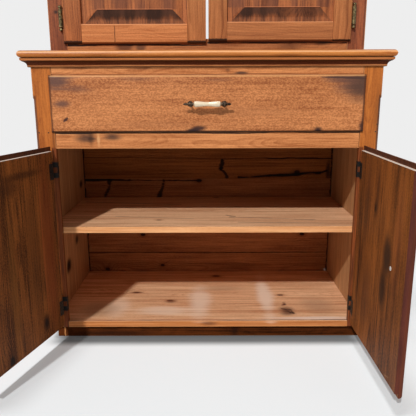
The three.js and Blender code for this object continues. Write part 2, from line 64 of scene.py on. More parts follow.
ahead = Vector((math.sin(yaw) * math.cos(pitch), math.cos(yaw) * math.cos(pitch), -math.sin(pitch)))
level = Vector((math.cos(yaw), -math.sin(yaw), 0))
rise = level.cross(ahead)
right = level * math.cos(roll) + rise * math.sin(roll)
up = rise * math.cos(roll) - level * math.sin(roll)
camera = added("camera", bpy.data.cameras.new("camera"))
camera.matrix_world = Matrix.Translation(camera_place) @ Matrix((right, up, -ahead)).transposed().to_4x4()
camera.data.sensor_width = sensor_width
camera.data.lens = focal_length * sensor_width / photo_width
camera.data.shift_y = camera_drop / photo_width
bpy.context.scene.camera = camera


# The studio: one broad lamp from the front left, as high as the shadow lines on the shelves ask, a softer
# one overhead, an even pale surround, and a pale floor that keeps the cupboard's shadow, with a painted shadow along
# the base's front.
def paint(red, green, blue):
    """A colour given as it is seen, from 0 to 255 a channel, as the linear colour a shader takes."""
    seen = (channel / 255 for channel in (red, green, blue))
    return (*(c / 12.92 if c <= 0.04045 else ((c + 0.055) / 1.055) ** 2.4 for c in seen), 1)


class Look:
    """A node tree as it is built. Each method adds a node and gives back what comes out of it."""

    def __init__(self, tree):
        self.tree = tree
        tree.nodes.clear()

    def node(self, kind, inputs=None, output=0, **settings):
        """An input that is a socket is linked, and any other is the input's value."""
        made = self.tree.nodes.new(kind)
        for name, value in settings.items():
            setattr(made, name, value)
        for key, value in (inputs or {}).items():
            if isinstance(value, bpy.types.NodeSocket):
                self.tree.links.new(value, made.inputs[key])
            else:
                made.inputs[key].default_value = value
        return made if output is None else made.outputs[output]

    def math(self, operation, *values):
        return self.node("ShaderNodeMath", dict(enumerate(values)), operation=operation)

    def plus(self, first, second):
        return self.math("ADD", first, second)

    def minus(self, first, second):
        return self.math("SUBTRACT", first, second)

    def times(self, first, second):
        return self.math("MULTIPLY", first, second)

    def least(self, first, second):
        return self.math("MINIMUM", first, second)

    def most(self, first, second):
        return self.math("MAXIMUM", first, second)

    def swayed(self, base, amount, value):
        """The base with so much of the value added."""
        return self.math("MULTIPLY_ADD", value, amount, base)

    def vector(self, operation, *values, output=0):
        return self.node("ShaderNodeVectorMath", dict(enumerate(values)), output, operation=operation)

    def scaled(self, vector, amount):
        return self.node("ShaderNodeVectorMath", {0: vector, "Scale": amount}, operation="SCALE")

    def far(self, vector):
        return self.vector("LENGTH", vector, output=1)

    def split(self, vector):
        return self.node("ShaderNodeSeparateXYZ", {0: vector}, None).outputs

    def stand(self, place):
        """Sets the place that the look's pattern is laid by."""
        self.place = place
        self.x, self.y, self.z = self.split(place)

    def noise(self, vector, scale, detail, rough=0.5):
        inputs = {"Vector": vector, "Scale": scale, "Detail": detail, "Roughness": rough}
        return self.node("ShaderNodeTexNoise", inputs)

    def ramp(self, value, low, high, to_low=0.0, to_high=1.0, shape="SMOOTHSTEP"):
        inputs = {"Value": value, "From Min": low, "From Max": high, "To Min": to_low, "To Max": to_high}
        return self.node("ShaderNodeMapRange", inputs, interpolation_type=shape)

    def mix(self, share, first, second):
        inputs = {0: share, 6: first, 7: second}
        return self.node("ShaderNodeMix", inputs, 2, data_type="RGBA", clamp_factor=True)

    def coat(self, share, colour):
        """Lays a colour over the look so far, as thickly as share says."""
        self.colour = self.mix(share, self.colour, colour)

    def end(self, kind, shader):
        self.node(kind, {"Surface": shader}, None)


def new_look(name):
    """A new material's look, with the place of each point of the piece."""
    made = bpy.data.materials.new(name)
    made.use_nodes = True
    look = Look(made.node_tree)
    look.material = made
    look.stand(look.node("ShaderNodeTexCoord", output="Object"))
    return look


surround = paint(238, 238, 238)
lamps = {
    "key_lamp": {"travel": (0.36, 1.0, -0.77), "strength": 2.6, "spread": 1.8},
    "soft_lamp": {"travel": (0.12, 0.03, -1.0), "strength": 1.1, "spread": 10},
}
fill_strength = 0.25
floor_size = 30
floor_fade = (2.2, 4.0)
floor_glow_share = 0.25
floor_glow = 0.86
floor_paint = paint(231, 236, 238)
painted_shadow_front = (-0.603, -0.55)
painted_shadow_half_width = (0.44, 0.52)
painted_shadow_depth = 0.78
white, no_light = (1, 1, 1, 1), (0, 0, 0, 1)

for name, set_up in lamps.items():
    lamp = added(name, bpy.data.lights.new(name, "SUN"))
    lamp.data.energy = set_up["strength"]
    lamp.data.angle = math.radians(set_up["spread"])
    lamp.matrix_world = Vector(set_up["travel"]).to_track_quat("-Z", "Y").to_matrix().to_4x4()

world = bpy.data.worlds.new("surround")
bpy.context.scene.world = world
world.use_nodes = True
look = Look(world.node_tree)
rays = look.node("ShaderNodeLightPath", output=None).outputs
seen = look.most(look.most(rays["Is Camera Ray"], rays["Is Transmission Ray"]), rays["Is Glossy Ray"])
fill = look.node("ShaderNodeBackground", {"Color": white, "Strength": fill_strength})
backdrop = look.node("ShaderNodeBackground", {"Color": surround, "Strength": 1.0})
look.end("ShaderNodeOutputWorld", look.node("ShaderNodeMixShader", {0: seen, 1: fill, 2: backdrop}))

floor_mesh = bpy.data.meshes.new("floor")
reach = floor_size / 2
corners = [(-reach, -reach, 0), (reach, -reach, 0), (reach, reach, 0), (-reach, reach, 0)]
floor_mesh.from_pydata(corners, [], [(0, 1, 2, 3)])
added("floor", floor_mesh)
look = new_look("pale_floor")
rays = look.node("ShaderNodeLightPath", output=None).outputs
away = look.ramp(look.far(look.place), *floor_fade)
# A painted shadow darkens the floor's colour and glow in a band along the base's front.
painted_contact_shadow = look.ramp(look.math("ABSOLUTE", look.x), *painted_shadow_half_width, 1, 0)
painted_contact_shadow = look.times(look.times(painted_contact_shadow, look.ramp(look.y, *painted_shadow_front)), painted_shadow_depth)
glow = look.mix(away, (floor_glow, floor_glow, floor_glow, 1), surround)
glow = look.mix(painted_contact_shadow, glow, no_light)
seen = look.times(rays["Is Camera Ray"], look.ramp(away, 0, 1, floor_glow_share, 1.0, "LINEAR"))
matt = look.node("ShaderNodeBsdfDiffuse", {"Color": look.mix(painted_contact_shadow, floor_paint, no_light)})
bright = look.node("ShaderNodeEmission", {"Color": glow, "Strength": 1.0})
look.end("ShaderNodeOutputMaterial", look.node("ShaderNodeMixShader", {0: seen, 1: matt, 2: bright}))
floor_mesh.materials.append(look.material)


# The base: a low glued frame of dark stained pine under the case, set back from its front and sides.
# Its left corner shows a rubbed strip where the side piece meets the front one.
def add_grain_group():
    """The look of flat-sawn pine: X along the grain, Y across the face, Z into the board."""
    group = bpy.data.node_groups.new("pine_grain", "ShaderNodeTree")
    for name, kind in (("Place", "Vector"), ("Push", "Float"), ("Ring Width", "Float"), ("Heart Depth", "Float")):
        group.interface.new_socket(name, in_out="INPUT", socket_type=f"NodeSocket{kind}")
    for name in ("Rings", "Streaks", "Fibres", "Clouds", "Pores", "Dapple", "Wander"):
        group.interface.new_socket(name, in_out="OUTPUT", socket_type="NodeSocketFloat")
    look = Look(group)
    given = look.node("NodeGroupInput", output=None).outputs

    def cloud(stretch, scale=1.0, detail=2.0, rough=0.5):
        """Noise stretched along the grain, from about -1 to 1."""
        mottled = look.noise(look.vector("MULTIPLY", given["Place"], stretch), scale, detail, rough)
        return look.ramp(mottled, 0.3, 0.7, -1, 1, "LINEAR")

    along, across, deep = look.split(given["Place"])
    across = look.swayed(across, 0.022, cloud((0.9, 2.2, 2.2), 2.3))
    deep = look.swayed(look.plus(deep, given["Heart Depth"]), 0.018, cloud((1.1, 1.5, 1.5), 1.9))
    squares = look.plus(look.math("POWER", across, 2), look.math("POWER", deep, 2))
    radius = look.plus(look.math("SQRT", squares), given["Push"])
    radius = look.swayed(radius, 0.0006, cloud((3, 40, 40), 3.0, 3))
    part = look.math("FRACT", look.math("DIVIDE", radius, given["Ring Width"]))
    rings = look.times(look.math("POWER", look.ramp(part, 0.2, 0.86), 1.6), look.ramp(part, 0.88, 1.0, 1, 0))
    strength = look.ramp(cloud((0.7, 14, 14), 3.2), -1, 1, 0.3, 1.0)
    wide, narrow = cloud((1.4, 46, 46), 1.0, 4, 0.6), cloud((4, 170, 170), 1.0, 3, 0.6)
    look.node("NodeGroupOutput", {
        "Rings": look.times(rings, strength),
        "Streaks": look.swayed(look.times(narrow, 0.8), 0.6, wide),
        "Fibres": cloud((9, 520, 520), 1.0, 4, 0.6),
        "Clouds": cloud((2.6, 9, 9), 1.0, 5, 0.62),
        "Pores": cloud((32, 900, 900)),
        "Dapple": look.ramp(cloud((190, 280, 280), 1.0, 3, 0.6), -0.8, 0.8, -1, 1),
        "Wander": cloud((8, 22, 22), 1.0, 3, 0.6),
    }, None)
    return group


grain_group = add_grain_group()
tones = {name: [paint(*colour) for colour in light_dark_knot] for name, light_dark_knot in {
    "drawer": ((208, 135, 82), (144, 80, 41), (50, 26, 20)),
    "waxed": ((220, 144, 87), (158, 89, 44), (60, 31, 18)),
    "door": ((192, 124, 74), (131, 75, 40), (56, 29, 17)),
    "counter": ((206, 129, 63), (151, 79, 30), (60, 31, 18)),
    "stile": ((200, 116, 48), (144, 74, 26), (60, 31, 18)),
    "brown": ((184, 111, 65), (105, 57, 33), (46, 26, 17)),
    "red": ((165, 93, 57), (94, 48, 33), (46, 22, 15)),
    "raw": ((246, 198, 154), (186, 124, 84), (70, 34, 20)),
    "inside": ((204, 156, 109), (157, 108, 69), (60, 30, 16)),
    "stained": ((153, 88, 39), (59, 30, 14), (22, 11, 7)),
    "back": ((188, 119, 70), (112, 61, 33), (22, 10, 5)),
    "upper back": ((170, 102, 48), (99, 52, 20), (22, 10, 5)),
    "grimy": ((97, 47, 16), (44, 19, 5), (18, 9, 5)),
}.items()}
worn_wood = paint(224, 164, 108)
grain_relief = {"Strength": 0.22, "Distance": 0.0012}
fibre_share = 0.18
knot_stretch = 0.62


def marked(grain, face, depth, knots, stains, cracks):
    """The marks with their places in the row frame, where they are given by two coordinates on a face."""
    def at(first, second, third=face):
        place = [first, second]
        place.insert("XYZ".index(grain[2]), third)
        return tuple(place)
    return (
        [(at(*mark[:2]), mark[2]) if len(mark) == 3 else mark for mark in knots],
        [(at(*mark[:2]), at(*mark[2:4], depth), *mark[4:]) if len(mark) == 6 else mark for mark in stains],
        [(at(*mark[:2]), at(*mark[2:4]), *mark[4:]) if len(mark) == 7 else mark for mark in cracks],
    )


def pine(name, grain, centre, tone="waxed", knots=(), stains=(), cracks=(), face=None, depth=0.02, turn=None,
         ring=0.0042, heart=0.05, rings=0.34, streaks=0.34, clouds=0.22, dapple=0.1, edges=None, worn=0.45,
         rub=0.0016, seed=0.0, roughness=0.5, gloss=0.18, ground=None, finish=None):
    """Pine as a board of it looks. grain names the axes along the grain, across the face and into it.

    knots are (place, radius), stains are (place, reach, colour, strength) and cracks are (start, end,
    width, colour, strength). A place or a reach is three numbers in the row frame, or two that stand bare
    for a mark on the face at face, where depth is a stain's reach into the board. turn is the (axis place,
    angle) that the board stands turned by. edges is the board's box, whose arrises are rubbed bare.
    """
    look = new_look(name)
    knots, stains, cracks = marked(grain, face, depth, knots, stains, cracks)
    if turn:
        pivot, angle = turn
        inputs = {"Vector": look.place, "Center": pivot, "Angle": -angle}
        look.stand(look.node("ShaderNodeVectorRotate", inputs, rotation_type="Z_AXIS"))
    moved = dict(zip("XYZ", look.split(look.vector("SUBTRACT", look.place, tuple(centre)))))
    along, across, deep = (moved[axis] for axis in grain)
    board_place = look.node("ShaderNodeCombineXYZ", {0: look.plus(along, seed), 1: across, 2: deep})

    push, knot_mask, knot_rings = 0.0, 0.0, 0.0
    stretch = tuple(knot_stretch if axis == grain[0] else 1.0 for axis in "XYZ")
    for spot, size in knots:
        far = look.far(look.vector("MULTIPLY", look.vector("SUBTRACT", look.place, spot), stretch))
        push = look.plus(push, look.ramp(far, 0.3 * size, 5.0 * size, 1.5 * size, 0))
        knot_mask = look.most(knot_mask, look.ramp(far, 0.6 * size, 1.1 * size, 0.9, 0))
        knot_rings = look.most(knot_rings, look.ramp(far, 1.0 * size, 2.6 * size, 0.5, 0))
    inputs = {"Place": board_place, "Push": push, "Ring Width": ring, "Heart Depth": heart}
    grown = look.node("ShaderNodeGroup", inputs, None, node_tree=grain_group).outputs
    ring_lines, look.streak, look.fibre, look.cloud, pore, spots, wander = grown

    light, dark, knot = tones[tone]
    share = look.swayed(0.5 - 0.3 * rings, rings, ring_lines)
    for amount, part in ((streaks, look.streak), (clouds, look.cloud), (dapple, spots), (fibre_share, look.fibre)):
        share = look.swayed(share, amount, part)
    look.colour = look.mix(share, light, dark)
    if ground:
        ground(look)
    look.coat(look.ramp(pore, 0.75, 1.5, 0, 0.4), knot)
    look.coat(knot_rings, dark)
    look.coat(knot_mask, knot)
    # Stains, and spots of painted shade.
    for spot, reaches, colour, strength in stains:
        apart = look.vector("SUBTRACT", look.place, spot)
        far = look.far(look.vector("MULTIPLY", apart, tuple(1 / reach for reach in reaches)))
        far = look.swayed(look.swayed(far, 0.22, look.cloud), 0.2, look.streak)
        look.coat(look.ramp(far, 0.2, 1.1, strength, 0), colour)
    opening = 0.0
    # Cracks, dark joints and painted shadow lines.
    for start, end, width, colour, strength in cracks:
        run = Vector(end) - Vector(start)
        astray = look.scaled(look.scaled((0.7, 0.7, 0.7), wander), width)
        from_start = look.vector("SUBTRACT", look.vector("ADD", look.place, astray), start)
        gone = look.vector("DOT_PRODUCT", from_start, tuple(run / run.length_squared), output=1)
        nearest = look.scaled(tuple(run), look.least(look.most(gone, 0), 1))
        far = look.far(look.vector("SUBTRACT", from_start, nearest))
        far = look.swayed(look.swayed(far, 0.3 * width, look.streak), 0.5 * width, look.cloud)
        here = look.ramp(far, 0.4 * width, width, 1, 0)
        look.coat(look.times(here, strength), colour)
        opening = look.most(opening, here)
    if edges:
        low, high = (tuple(corner) for corner in edges)
        from_low = look.vector("SUBTRACT", look.place, low)
        x, y, z = look.split(look.vector("MINIMUM", from_low, look.vector("SUBTRACT", high, look.place)))
        off_edge = look.least(look.least(look.most(x, y), look.most(y, z)), look.most(x, z))
        rubbed = look.swayed(look.swayed(rub, rub * 0.7, look.cloud), rub * 0.4, look.streak)
        look.coat(look.ramp(look.minus(off_edge, rubbed), -0.001, 0.001, worn, 0), worn_wood)
    if finish:
        finish(look)
    shine = look.swayed(look.swayed(roughness, 0.06, look.cloud), 0.03, look.fibre)
    height = look.times(ring_lines, 0.35)
    for amount, part in ((0.3, look.fibre), (0.15, look.streak), (-0.6, knot_mask), (-1.6, opening)):
        height = look.swayed(height, amount, part)
    bumped = look.node("ShaderNodeBump", {**grain_relief, "Height": height})
    inputs = {"Base Color": look.colour, "Roughness": shine, "Normal": bumped, "Specular IOR Level": gloss}
    look.end("ShaderNodeOutputMaterial", look.node("ShaderNodeBsdfPrincipled", inputs))
    return look.material


def bevelled(obj, width, angle):
    """Takes the sharp arrises off an object."""
    eased = obj.modifiers.new("ease", "BEVEL")
    eased.limit_method = "ANGLE"
    eased.angle_limit = math.radians(angle)
    eased.width = width
    eased.segments = 2
    eased.use_clamp_overlap = True
    return eased


weld_distance = 0.00002


def finish_board(node, grain, tone, width=0.0012, **looks):
    """A packed board keeps its shape, with its arrises eased and the look of its own piece of pine."""
    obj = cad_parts[node]
    low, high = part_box(node)
    looks.setdefault("face", high.z if grain[2] == "Z" else low.y)
    obj.data.materials.clear()
    obj.data.materials.append(pine(node, grain, (low + high) / 2, tone, edges=(low, high), **looks))
    obj.modifiers.new("join", "WELD").merge_threshold = weld_distance
    flatten = obj.modifiers.new("flatten", "DECIMATE")
    flatten.decimate_type = "DISSOLVE"
    flatten.angle_limit = math.radians(1)
    bevelled(obj, width, 30)


# Near black for soot, also used for painted shade and painted shadow lines.
soot_and_shade = paint(30, 15, 10)
black = paint(14, 6, 3)
smoke = paint(70, 48, 38)
tan = paint(196, 132, 78)
finish_board(
    "base", "XZY", "grimy", worn=0.15, seed=4.1, roughness=0.85, gloss=0.05, streaks=0.5, depth=0.01,
    stains=[(0.085, 0.02, 0.02, 0.03, soot_and_shade, 0.7), (-0.30, 0.01, 0.14, 0.012, soot_and_shade, 0.6)],
    cracks=[(-0.457, 0.002, -0.4565, 0.036, 0.0022, tan, 0.75)],
)


# The lower case's sides and face frame: pine boards, oiled and waxed to a warm orange brown that has
# gone darker in places. The stiles stand on the base, and the rails are tenoned between them.
# Dark brown for grime, also used for painted shade.
grime_and_shade = paint(78, 40, 22)
lower_front = -0.532
case_half, side_inner, rail_half = 0.495, 0.476, 0.4395
bare_face = 0.484
chamfer_corner = 0.4949 - lower_front
chamfer_size, chamfer_stop = 0.007, 0.745
covered_edge, covered_head = 0.453, 0.599
rabbet_front = -0.0115


def room_side(sign):
    """A case side is waxed outside only: the face towards the room inside is drier and paler."""
    def ground(look):
        inner = look.ramp(look.times(look.x, sign), bare_face - 0.0005, bare_face + 0.0005, 1, 0)
        share = look.swayed(look.swayed(0.45, 0.5, look.streak), 0.25, look.cloud)
        look.coat(inner, look.mix(share, *tones["inside"][:2]))
        # The rabbet behind the back boards is painted near black, painted shade in the joint.
        look.coat(look.ramp(look.y, rabbet_front - 0.0025, rabbet_front + 0.0025, 0, 0.9), black)
    return ground


def darkened_stile(sign):
    """A stile is darker on its stopped chamfer and at its foot, and beside the open door it has painted shade."""
    def finish(look):
        out = look.times(look.x, sign)
        off = look.minus(look.minus(out, look.y), chamfer_corner)
        on_chamfer = look.ramp(off, -chamfer_size - 0.0012, -chamfer_size - 0.0002, 0, 0.75)
        look.coat(look.times(on_chamfer, look.ramp(look.z, chamfer_stop - 0.003, chamfer_stop + 0.003, 1, 0)), grime_and_shade)
        look.coat(look.ramp(look.swayed(look.z, 0.02, look.cloud), 0.04, 0.09, 0.6, 0), grime_and_shade)
        # Painted shade on the stile's face beside the open door, below the door's head.
        wander = look.swayed(out, 0.002, look.streak)
        beside = look.ramp(wander, covered_edge - 0.0015, covered_edge + 0.0015, 0.9, 0)
        covered = look.times(beside, look.ramp(look.z, covered_head - 0.003, covered_head + 0.003, 1, 0))
        shade_and_handling = look.mix(look.ramp(look.fibre, -0.5, 0.8), paint(128, 62, 28), paint(62, 28, 14))
        look.coat(covered, shade_and_handling)
    return finish


def rail_ends(low, high):
    """The dark joints where a rail's shoulders meet the stiles."""
    return [(end, low, end, high, 0.0022, grime_and_shade, 0.75) for end in (-rail_half, rail_half)]


finish_board(
    "lower_side_left", "ZYX", "stile", seed=0.4, gloss=0.2, ground=room_side(-1), face=-side_inner,
    knots=[(-0.192, 0.237, 0.005), (-0.070, 0.420, 0.005), ((-case_half, -0.25, 0.5), 0.010),
           ((-case_half, -0.12, 0.22), 0.008)],
    stains=[(-0.330, 0.180, 0.046, 0.038, black, 1.0), (-0.330, 0.180, 0.040, 0.034, black, 1.0),
            (-0.192, 0.237, 0.032, 0.022, black, 1.0), (-0.070, 0.420, 0.030, 0.017, black, 1.0)],
)
finish_board(
    "lower_side_right", "ZYX", "stile", seed=2.1, gloss=0.2, ground=room_side(1), face=case_half,
    knots=[(-0.22, 0.63, 0.012), (-0.40, 0.31, 0.009)],
)
# Each stile has a long dark mark near the door, painted shade with handling dirt.
for side, sign, seed, clouds, shade_and_handling in (
    ("left", -1, 3.8, 0.22, (-0.445, 0.60, 0.006, 0.10, grime_and_shade, 0.5)),
    ("right", 1, 5.5, 0.3, (0.488, 0.70, 0.016, 0.10, grime_and_shade, 0.45)),
):
    # Painted shade round each hinge on the stile's front.
    hinge_shade = [((sign * 0.45, -0.535, z), (0.02, 0.02, 0.036), soot_and_shade, 0.95) for z in (0.534, 0.1165)]
    finish_board(f"lower_stile_{side}", "ZXY", "stile", width=0.0016, seed=seed, finish=darkened_stile(sign), worn=0.3,
                 clouds=clouds, stains=[shade_and_handling, *hinge_shade])
finish_board(
    "lower_top_rail", "XZY", "waxed", dapple=0.12, seed=7.2, worn=0.25,
    stains=[(0.096, 0.806, 0.024, 0.005, smoke, 0.9), (0.058, 0.813, 0.010, 0.006, grime_and_shade, 0.6),
            (-0.36, 0.82, 0.05, 0.006, grime_and_shade, 0.5), (-0.18, 0.818, 0.04, 0.006, grime_and_shade, 0.45)],
    cracks=[(-0.45, 0.8024, 0.45, 0.8024, 0.0016, grime_and_shade, 0.6), *rail_ends(0.80, 0.84)],
)
finish_board(
    "lower_middle_rail", "XZY", "waxed", seed=8.9, worn=0.3, streaks=0.42,
    stains=[(-0.350, 0.626, 0.042, 0.020, smoke, 0.85), (-0.337, 0.624, 0.012, 0.03, soot_and_shade, 0.6),
            (-0.315, 0.622, 0.006, 0.03, worn_wood, 0.75), (-0.275, 0.63, 0.036, 0.014, smoke, 0.85)],
    # The dark line along the rail just under the drawer's lip is painted shadow.
    cracks=[(-0.46, 0.641, 0.46, 0.641, 0.003, soot_and_shade, 0.9), *rail_ends(0.60, 0.65)],
)


# The bottom board and the shelf: bare pine, dry and pinkish, housed in dadoes in the sides. The bottom
# board's front edge comes through between the stiles and is waxed as they are.
def nose(front, strength, base, amount, light, dark):
    """A board's front edge, in a colour of its own back to just behind its arris."""
    def ground(look):
        share = look.swayed(base, amount, look.streak)
        look.coat(look.ramp(look.y, front, front + 0.0013, strength, 0), look.mix(share, light, dark))
    return ground


board_nose, shelf_nose = -0.5318, -0.5125
pale = paint(243, 216, 192)
dusty = paint(150, 116, 92)
finish_board(
    "bottom_board", "XYZ", "raw", seed=11.0, roughness=0.6, worn=0.3, streaks=0.5, gloss=0.2,
    ground=nose(board_nose, 0.85, 0.5, 0.4, paint(200, 118, 48), paint(150, 78, 22)),
    knots=[(-0.257, -0.262, 0.007), (-0.132, -0.345, 0.008), (0.256, -0.292, 0.008), (0.031, -0.072, 0.010)],
    stains=[
        (0.259, -0.447, 0.036, 0.048, paint(84, 48, 36), 0.9), (0.259, -0.38, 0.008, 0.02, paint(110, 62, 44), 0.7),
        (-0.128, -0.352, 0.028, 0.024, paint(110, 62, 40), 0.75), (0.031, -0.073, 0.024, 0.016, paint(84, 42, 28), 0.8),
        (-0.257, -0.262, 0.03, 0.014, paint(96, 52, 34), 0.75), (-0.028, -0.36, 0.05, 0.21, pale, 0.75),
        (0.20, -0.30, 0.034, 0.27, pale, 0.9), (-0.14, -0.44, 0.12, 0.05, pale, 0.6),
        (-0.30, -0.41, 0.05, 0.11, pale, 0.5), (0.05, -0.22, 0.10, 0.04, dusty, 0.35),
        (-0.36, -0.43, 0.08, 0.08, dusty, 0.5), (0.37, -0.40, 0.07, 0.10, dusty, 0.4),
        (0.33, -0.508, 0.17, 0.017, paint(232, 208, 190), 0.8),
        ((0.003, lower_front, 0.049), (0.034, 0.006, 0.009), grime_and_shade, 0.6)],
    cracks=[
        (-0.44, -0.5225, 0.44, -0.5225, 0.0034, paint(104, 84, 76), 0.9),
        (0.247, -0.428, 0.268, -0.462, 0.011, paint(48, 26, 22), 0.95),
        (0.268, -0.436, 0.278, -0.466, 0.008, paint(56, 32, 26), 0.9),
        (0.250, -0.395, 0.262, -0.384, 0.006, paint(90, 50, 40), 0.85)],
)
finish_board(
    "lower_shelf", "XYZ", "raw", seed=13.3, roughness=0.6, worn=0.6, streaks=0.5, gloss=0.2,
    ground=nose(shelf_nose, 0.8, 0.4, 0.5, paint(234, 168, 110), paint(196, 122, 68)),
    knots=[(-0.156, -0.4165, 0.006), (0.032, -0.01, 0.009)], stains=[(0.100, -0.206, 0.034, 0.008, soot_and_shade, 0.85)],
    cracks=[
        (0.076, -0.374, 0.340, -0.420, 0.008, dusty, 0.7), (0.10, -0.45, 0.42, -0.47, 0.006, dusty, 0.6),
        (-0.30, -0.36, -0.05, -0.40, 0.007, dusty, 0.4), (-0.45, -0.10, -0.10, -0.16, 0.006, soot_and_shade, 0.5),
        (0.09, -0.365, 0.062, -0.345, 0.004, grime_and_shade, 0.8)],
)


# The lower case's back: three wide pine boards laid across and nailed into rabbets in the sides. They
# are bare and have gone very dark, with open joints that have moved a little.
end_gaps = [(end, 0.0, end, 0.63, 0.005, black, 0.9) for end in (-0.4755, 0.4745)]
for number, tone, seed, knots, stains, cracks in (
    (1, "back", 15.0, [(-0.182, 0.082, 0.006), (-0.403, 0.066, 0.007)],
     [(0.470, 0.061, 0.010, 0.010, paint(244, 240, 236), 1.0)],
     [(-0.48, 0.1355, 0.48, 0.1355, 0.003, black, 0.9)]),
    (2, "back", 17.0, [(-0.257, 0.208, 0.007), (0.372, 0.209, 0.007), (-0.034, 0.422, 0.008)],
     [(-0.440, 0.424, 0.05, 0.008, black, 0.7)],
     [(-0.473, 0.4285, -0.30, 0.4245, 0.0062, black, 0.97), (-0.30, 0.4245, -0.026, 0.422, 0.0045, black, 0.97),
      (-0.379, 0.4215, -0.396, 0.361, 0.0115, black, 0.9), (-0.171, 0.4215, -0.187, 0.359, 0.0105, black, 0.9)]),
    (3, "upper back", 19.0, [(0.343, 0.455, 0.008)],
     [(0.462, 0.46, 0.012, 0.06, black, 0.8), (0.36, 0.448, 0.10, 0.006, black, 0.7)],
     [(0.05, 0.507, 0.48, 0.5065, 0.0042, black, 0.95), (0.057, 0.504, 0.0535, 0.4705, 0.0105, black, 0.93),
      (0.0535, 0.4705, 0.073, 0.436, 0.008, black, 0.9), (0.118, 0.4345, 0.431, 0.4515, 0.0065, black, 0.97),
      (0.431, 0.4515, 0.457, 0.459, 0.005, black, 0.95), (-0.48, 0.512, 0.05, 0.5075, 0.002, black, 0.6)]),
):
    finish_board(f"lower_back_board_{number}", "XZY", tone, seed=seed, gloss=0.12, roughness=0.75, worn=0.0,
                 rings=0.4, knots=knots, stains=stains, cracks=[*cracks, *end_gaps])


# The counter is one wide pine board with a half round edge, and a cove moulding runs under it, mitred at
# the front corners and nailed to the case. Its cove holds dirt and painted shade, and its fillet a painted highlight.
def copied(node):
    """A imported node's shape as one closed body, its loose triangles joined."""
    shape = bmesh.new()
    shape.from_mesh(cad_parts[node].data)
    bmesh.ops.remove_doubles(shape, verts=shape.verts, dist=weld_distance)
    return shape


def finished(name, shape, material, body, nodes=(), bevel=0.0008, smooth=32):
    """Turns a worked shape into a piece: flat faces made whole, curves smooth, arrises eased."""
    bmesh.ops.dissolve_limit(
        shape, angle_limit=math.radians(0.5), verts=shape.verts, edges=shape.edges, delimit={"MATERIAL"},
    )
    mesh = bpy.data.meshes.new(name)
    shape.to_mesh(mesh)
    shape.free()
    mesh.materials.append(material)
    piece = ridden(name, mesh, smooth, body)
    if bevel:
        bevelled(piece, bevel, smooth + 6).harden_normals = True
    if nodes:
        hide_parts(*nodes)


def ridden(name, mesh, smooth, body):
    """A finished mesh as a piece that rides on its body, smooth but for arrises over so many degrees."""
    mesh.polygons.foreach_set("use_smooth", [True] * len(mesh.polygons))
    mesh.set_sharp_from_angle(angle=math.radians(smooth))
    piece = added(name, mesh)
    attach(piece, body)
    return piece


def board_piece(name, node, grain, tone, body="case", shape=None, bevel=0.0008, smooth=32, **looks):
    """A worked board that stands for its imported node."""
    low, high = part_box(node)
    looks.setdefault("centre", (low + high) / 2)
    material = pine(node, grain, tone=tone, **looks)
    finished(name, shape or copied(node), material, body, [node], bevel, smooth)


def cove_shade_and_dirt(foot, height, bead, fillet):
    """Dirt and painted shade in a moulding's cove, hatched along the grain's pores, with a painted highlight at the
    fillet, a darker bead and painted shadow lines at the moulding's head and foot.
    """
    fillet_foot = height - fillet

    def finish(look):
        up = look.swayed(look.minus(look.z, foot), 0.0006, look.cloud)
        inside = look.times(look.ramp(up, bead, bead + 0.003), look.ramp(up, fillet_foot - 0.0015, fillet_foot, 1, 0))
        hatch = look.noise(look.vector("MULTIPLY", look.place, (420, 420, 30)), 1.0, 2.0)
        # The cove's dirt deepens into painted shade towards the fillet.
        shade_and_dirt = look.mix(look.ramp(up, bead, fillet_foot, 0, 1, "LINEAR"), paint(92, 31, 4), paint(34, 7, 0))
        look.coat(look.times(inside, look.ramp(hatch, 0.35, 0.65, 0.86, 1.0, "LINEAR")), shade_and_dirt)
        look.coat(look.ramp(up, bead * 0.9, bead * 1.2, 0.3, 0), paint(104, 54, 28))
        # Painted highlight at the fillet's foot.
        look.coat(look.ramp(up, fillet_foot - 0.0005, fillet_foot + 0.0005, 0, 0.45), paint(176, 102, 52))
        # Painted shadow lines at the moulding's head, under the counter's edge, and at its foot.
        look.coat(look.ramp(up, height - 0.0024, height - 0.0012, 0, 0.95), soot_and_shade)
        look.coat(look.ramp(up, 0.0006, 0.0018, 0.97, 0), soot_and_shade)
    return finish


counter_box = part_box("counter_board")


def edge_light_and_shade(look):
    """A half round edge with a painted highlight on its crown, and painted shade over its lower half and in a band
    under its top.
    """
    up = look.swayed(look.minus(look.z, counter_box[0].z), 0.0008, look.streak)
    # Painted shade over the lower half of the round.
    look.coat(look.ramp(up, 0.002, 0.012, 0.5, 0), paint(176, 98, 36))
    # Painted shade in a band under the top.
    above = look.times(look.ramp(up, 0.0155, 0.0175, 0, 0.5), look.ramp(up, 0.0186, 0.0189, 1, 0))
    look.coat(above, paint(150, 84, 40))
    # Painted highlight on the crown.
    crown_highlight = look.times(look.ramp(up, 0.0115, 0.0135), look.ramp(up, 0.0150, 0.0168, 1, 0))
    look.coat(look.times(crown_highlight, 0.5), paint(246, 196, 144))


board_piece(
    "counter", "counter_board", "XYZ", "counter", bevel=0, seed=21.0, roughness=0.36, streaks=0.42, dapple=0.12,
    finish=edge_light_and_shade, edges=counter_box, rub=0.003, worn=0.15,
    stains=[((-0.30, -0.5606, 0.850), (0.06, 0.02, 0.006), grime_and_shade, 0.5),
            ((0.22, -0.5606, 0.850), (0.05, 0.02, 0.006), grime_and_shade, 0.5)],
)
moulding_foot, moulding_height = 0.822, 0.025
moulding_bead, moulding_fillet = 0.0034, 0.0072
moulding_stretch = 1.13
bead_shrink, cove_shrink = 0.7, 0.93
bead_head, fillet_start = 0.005, 0.0178


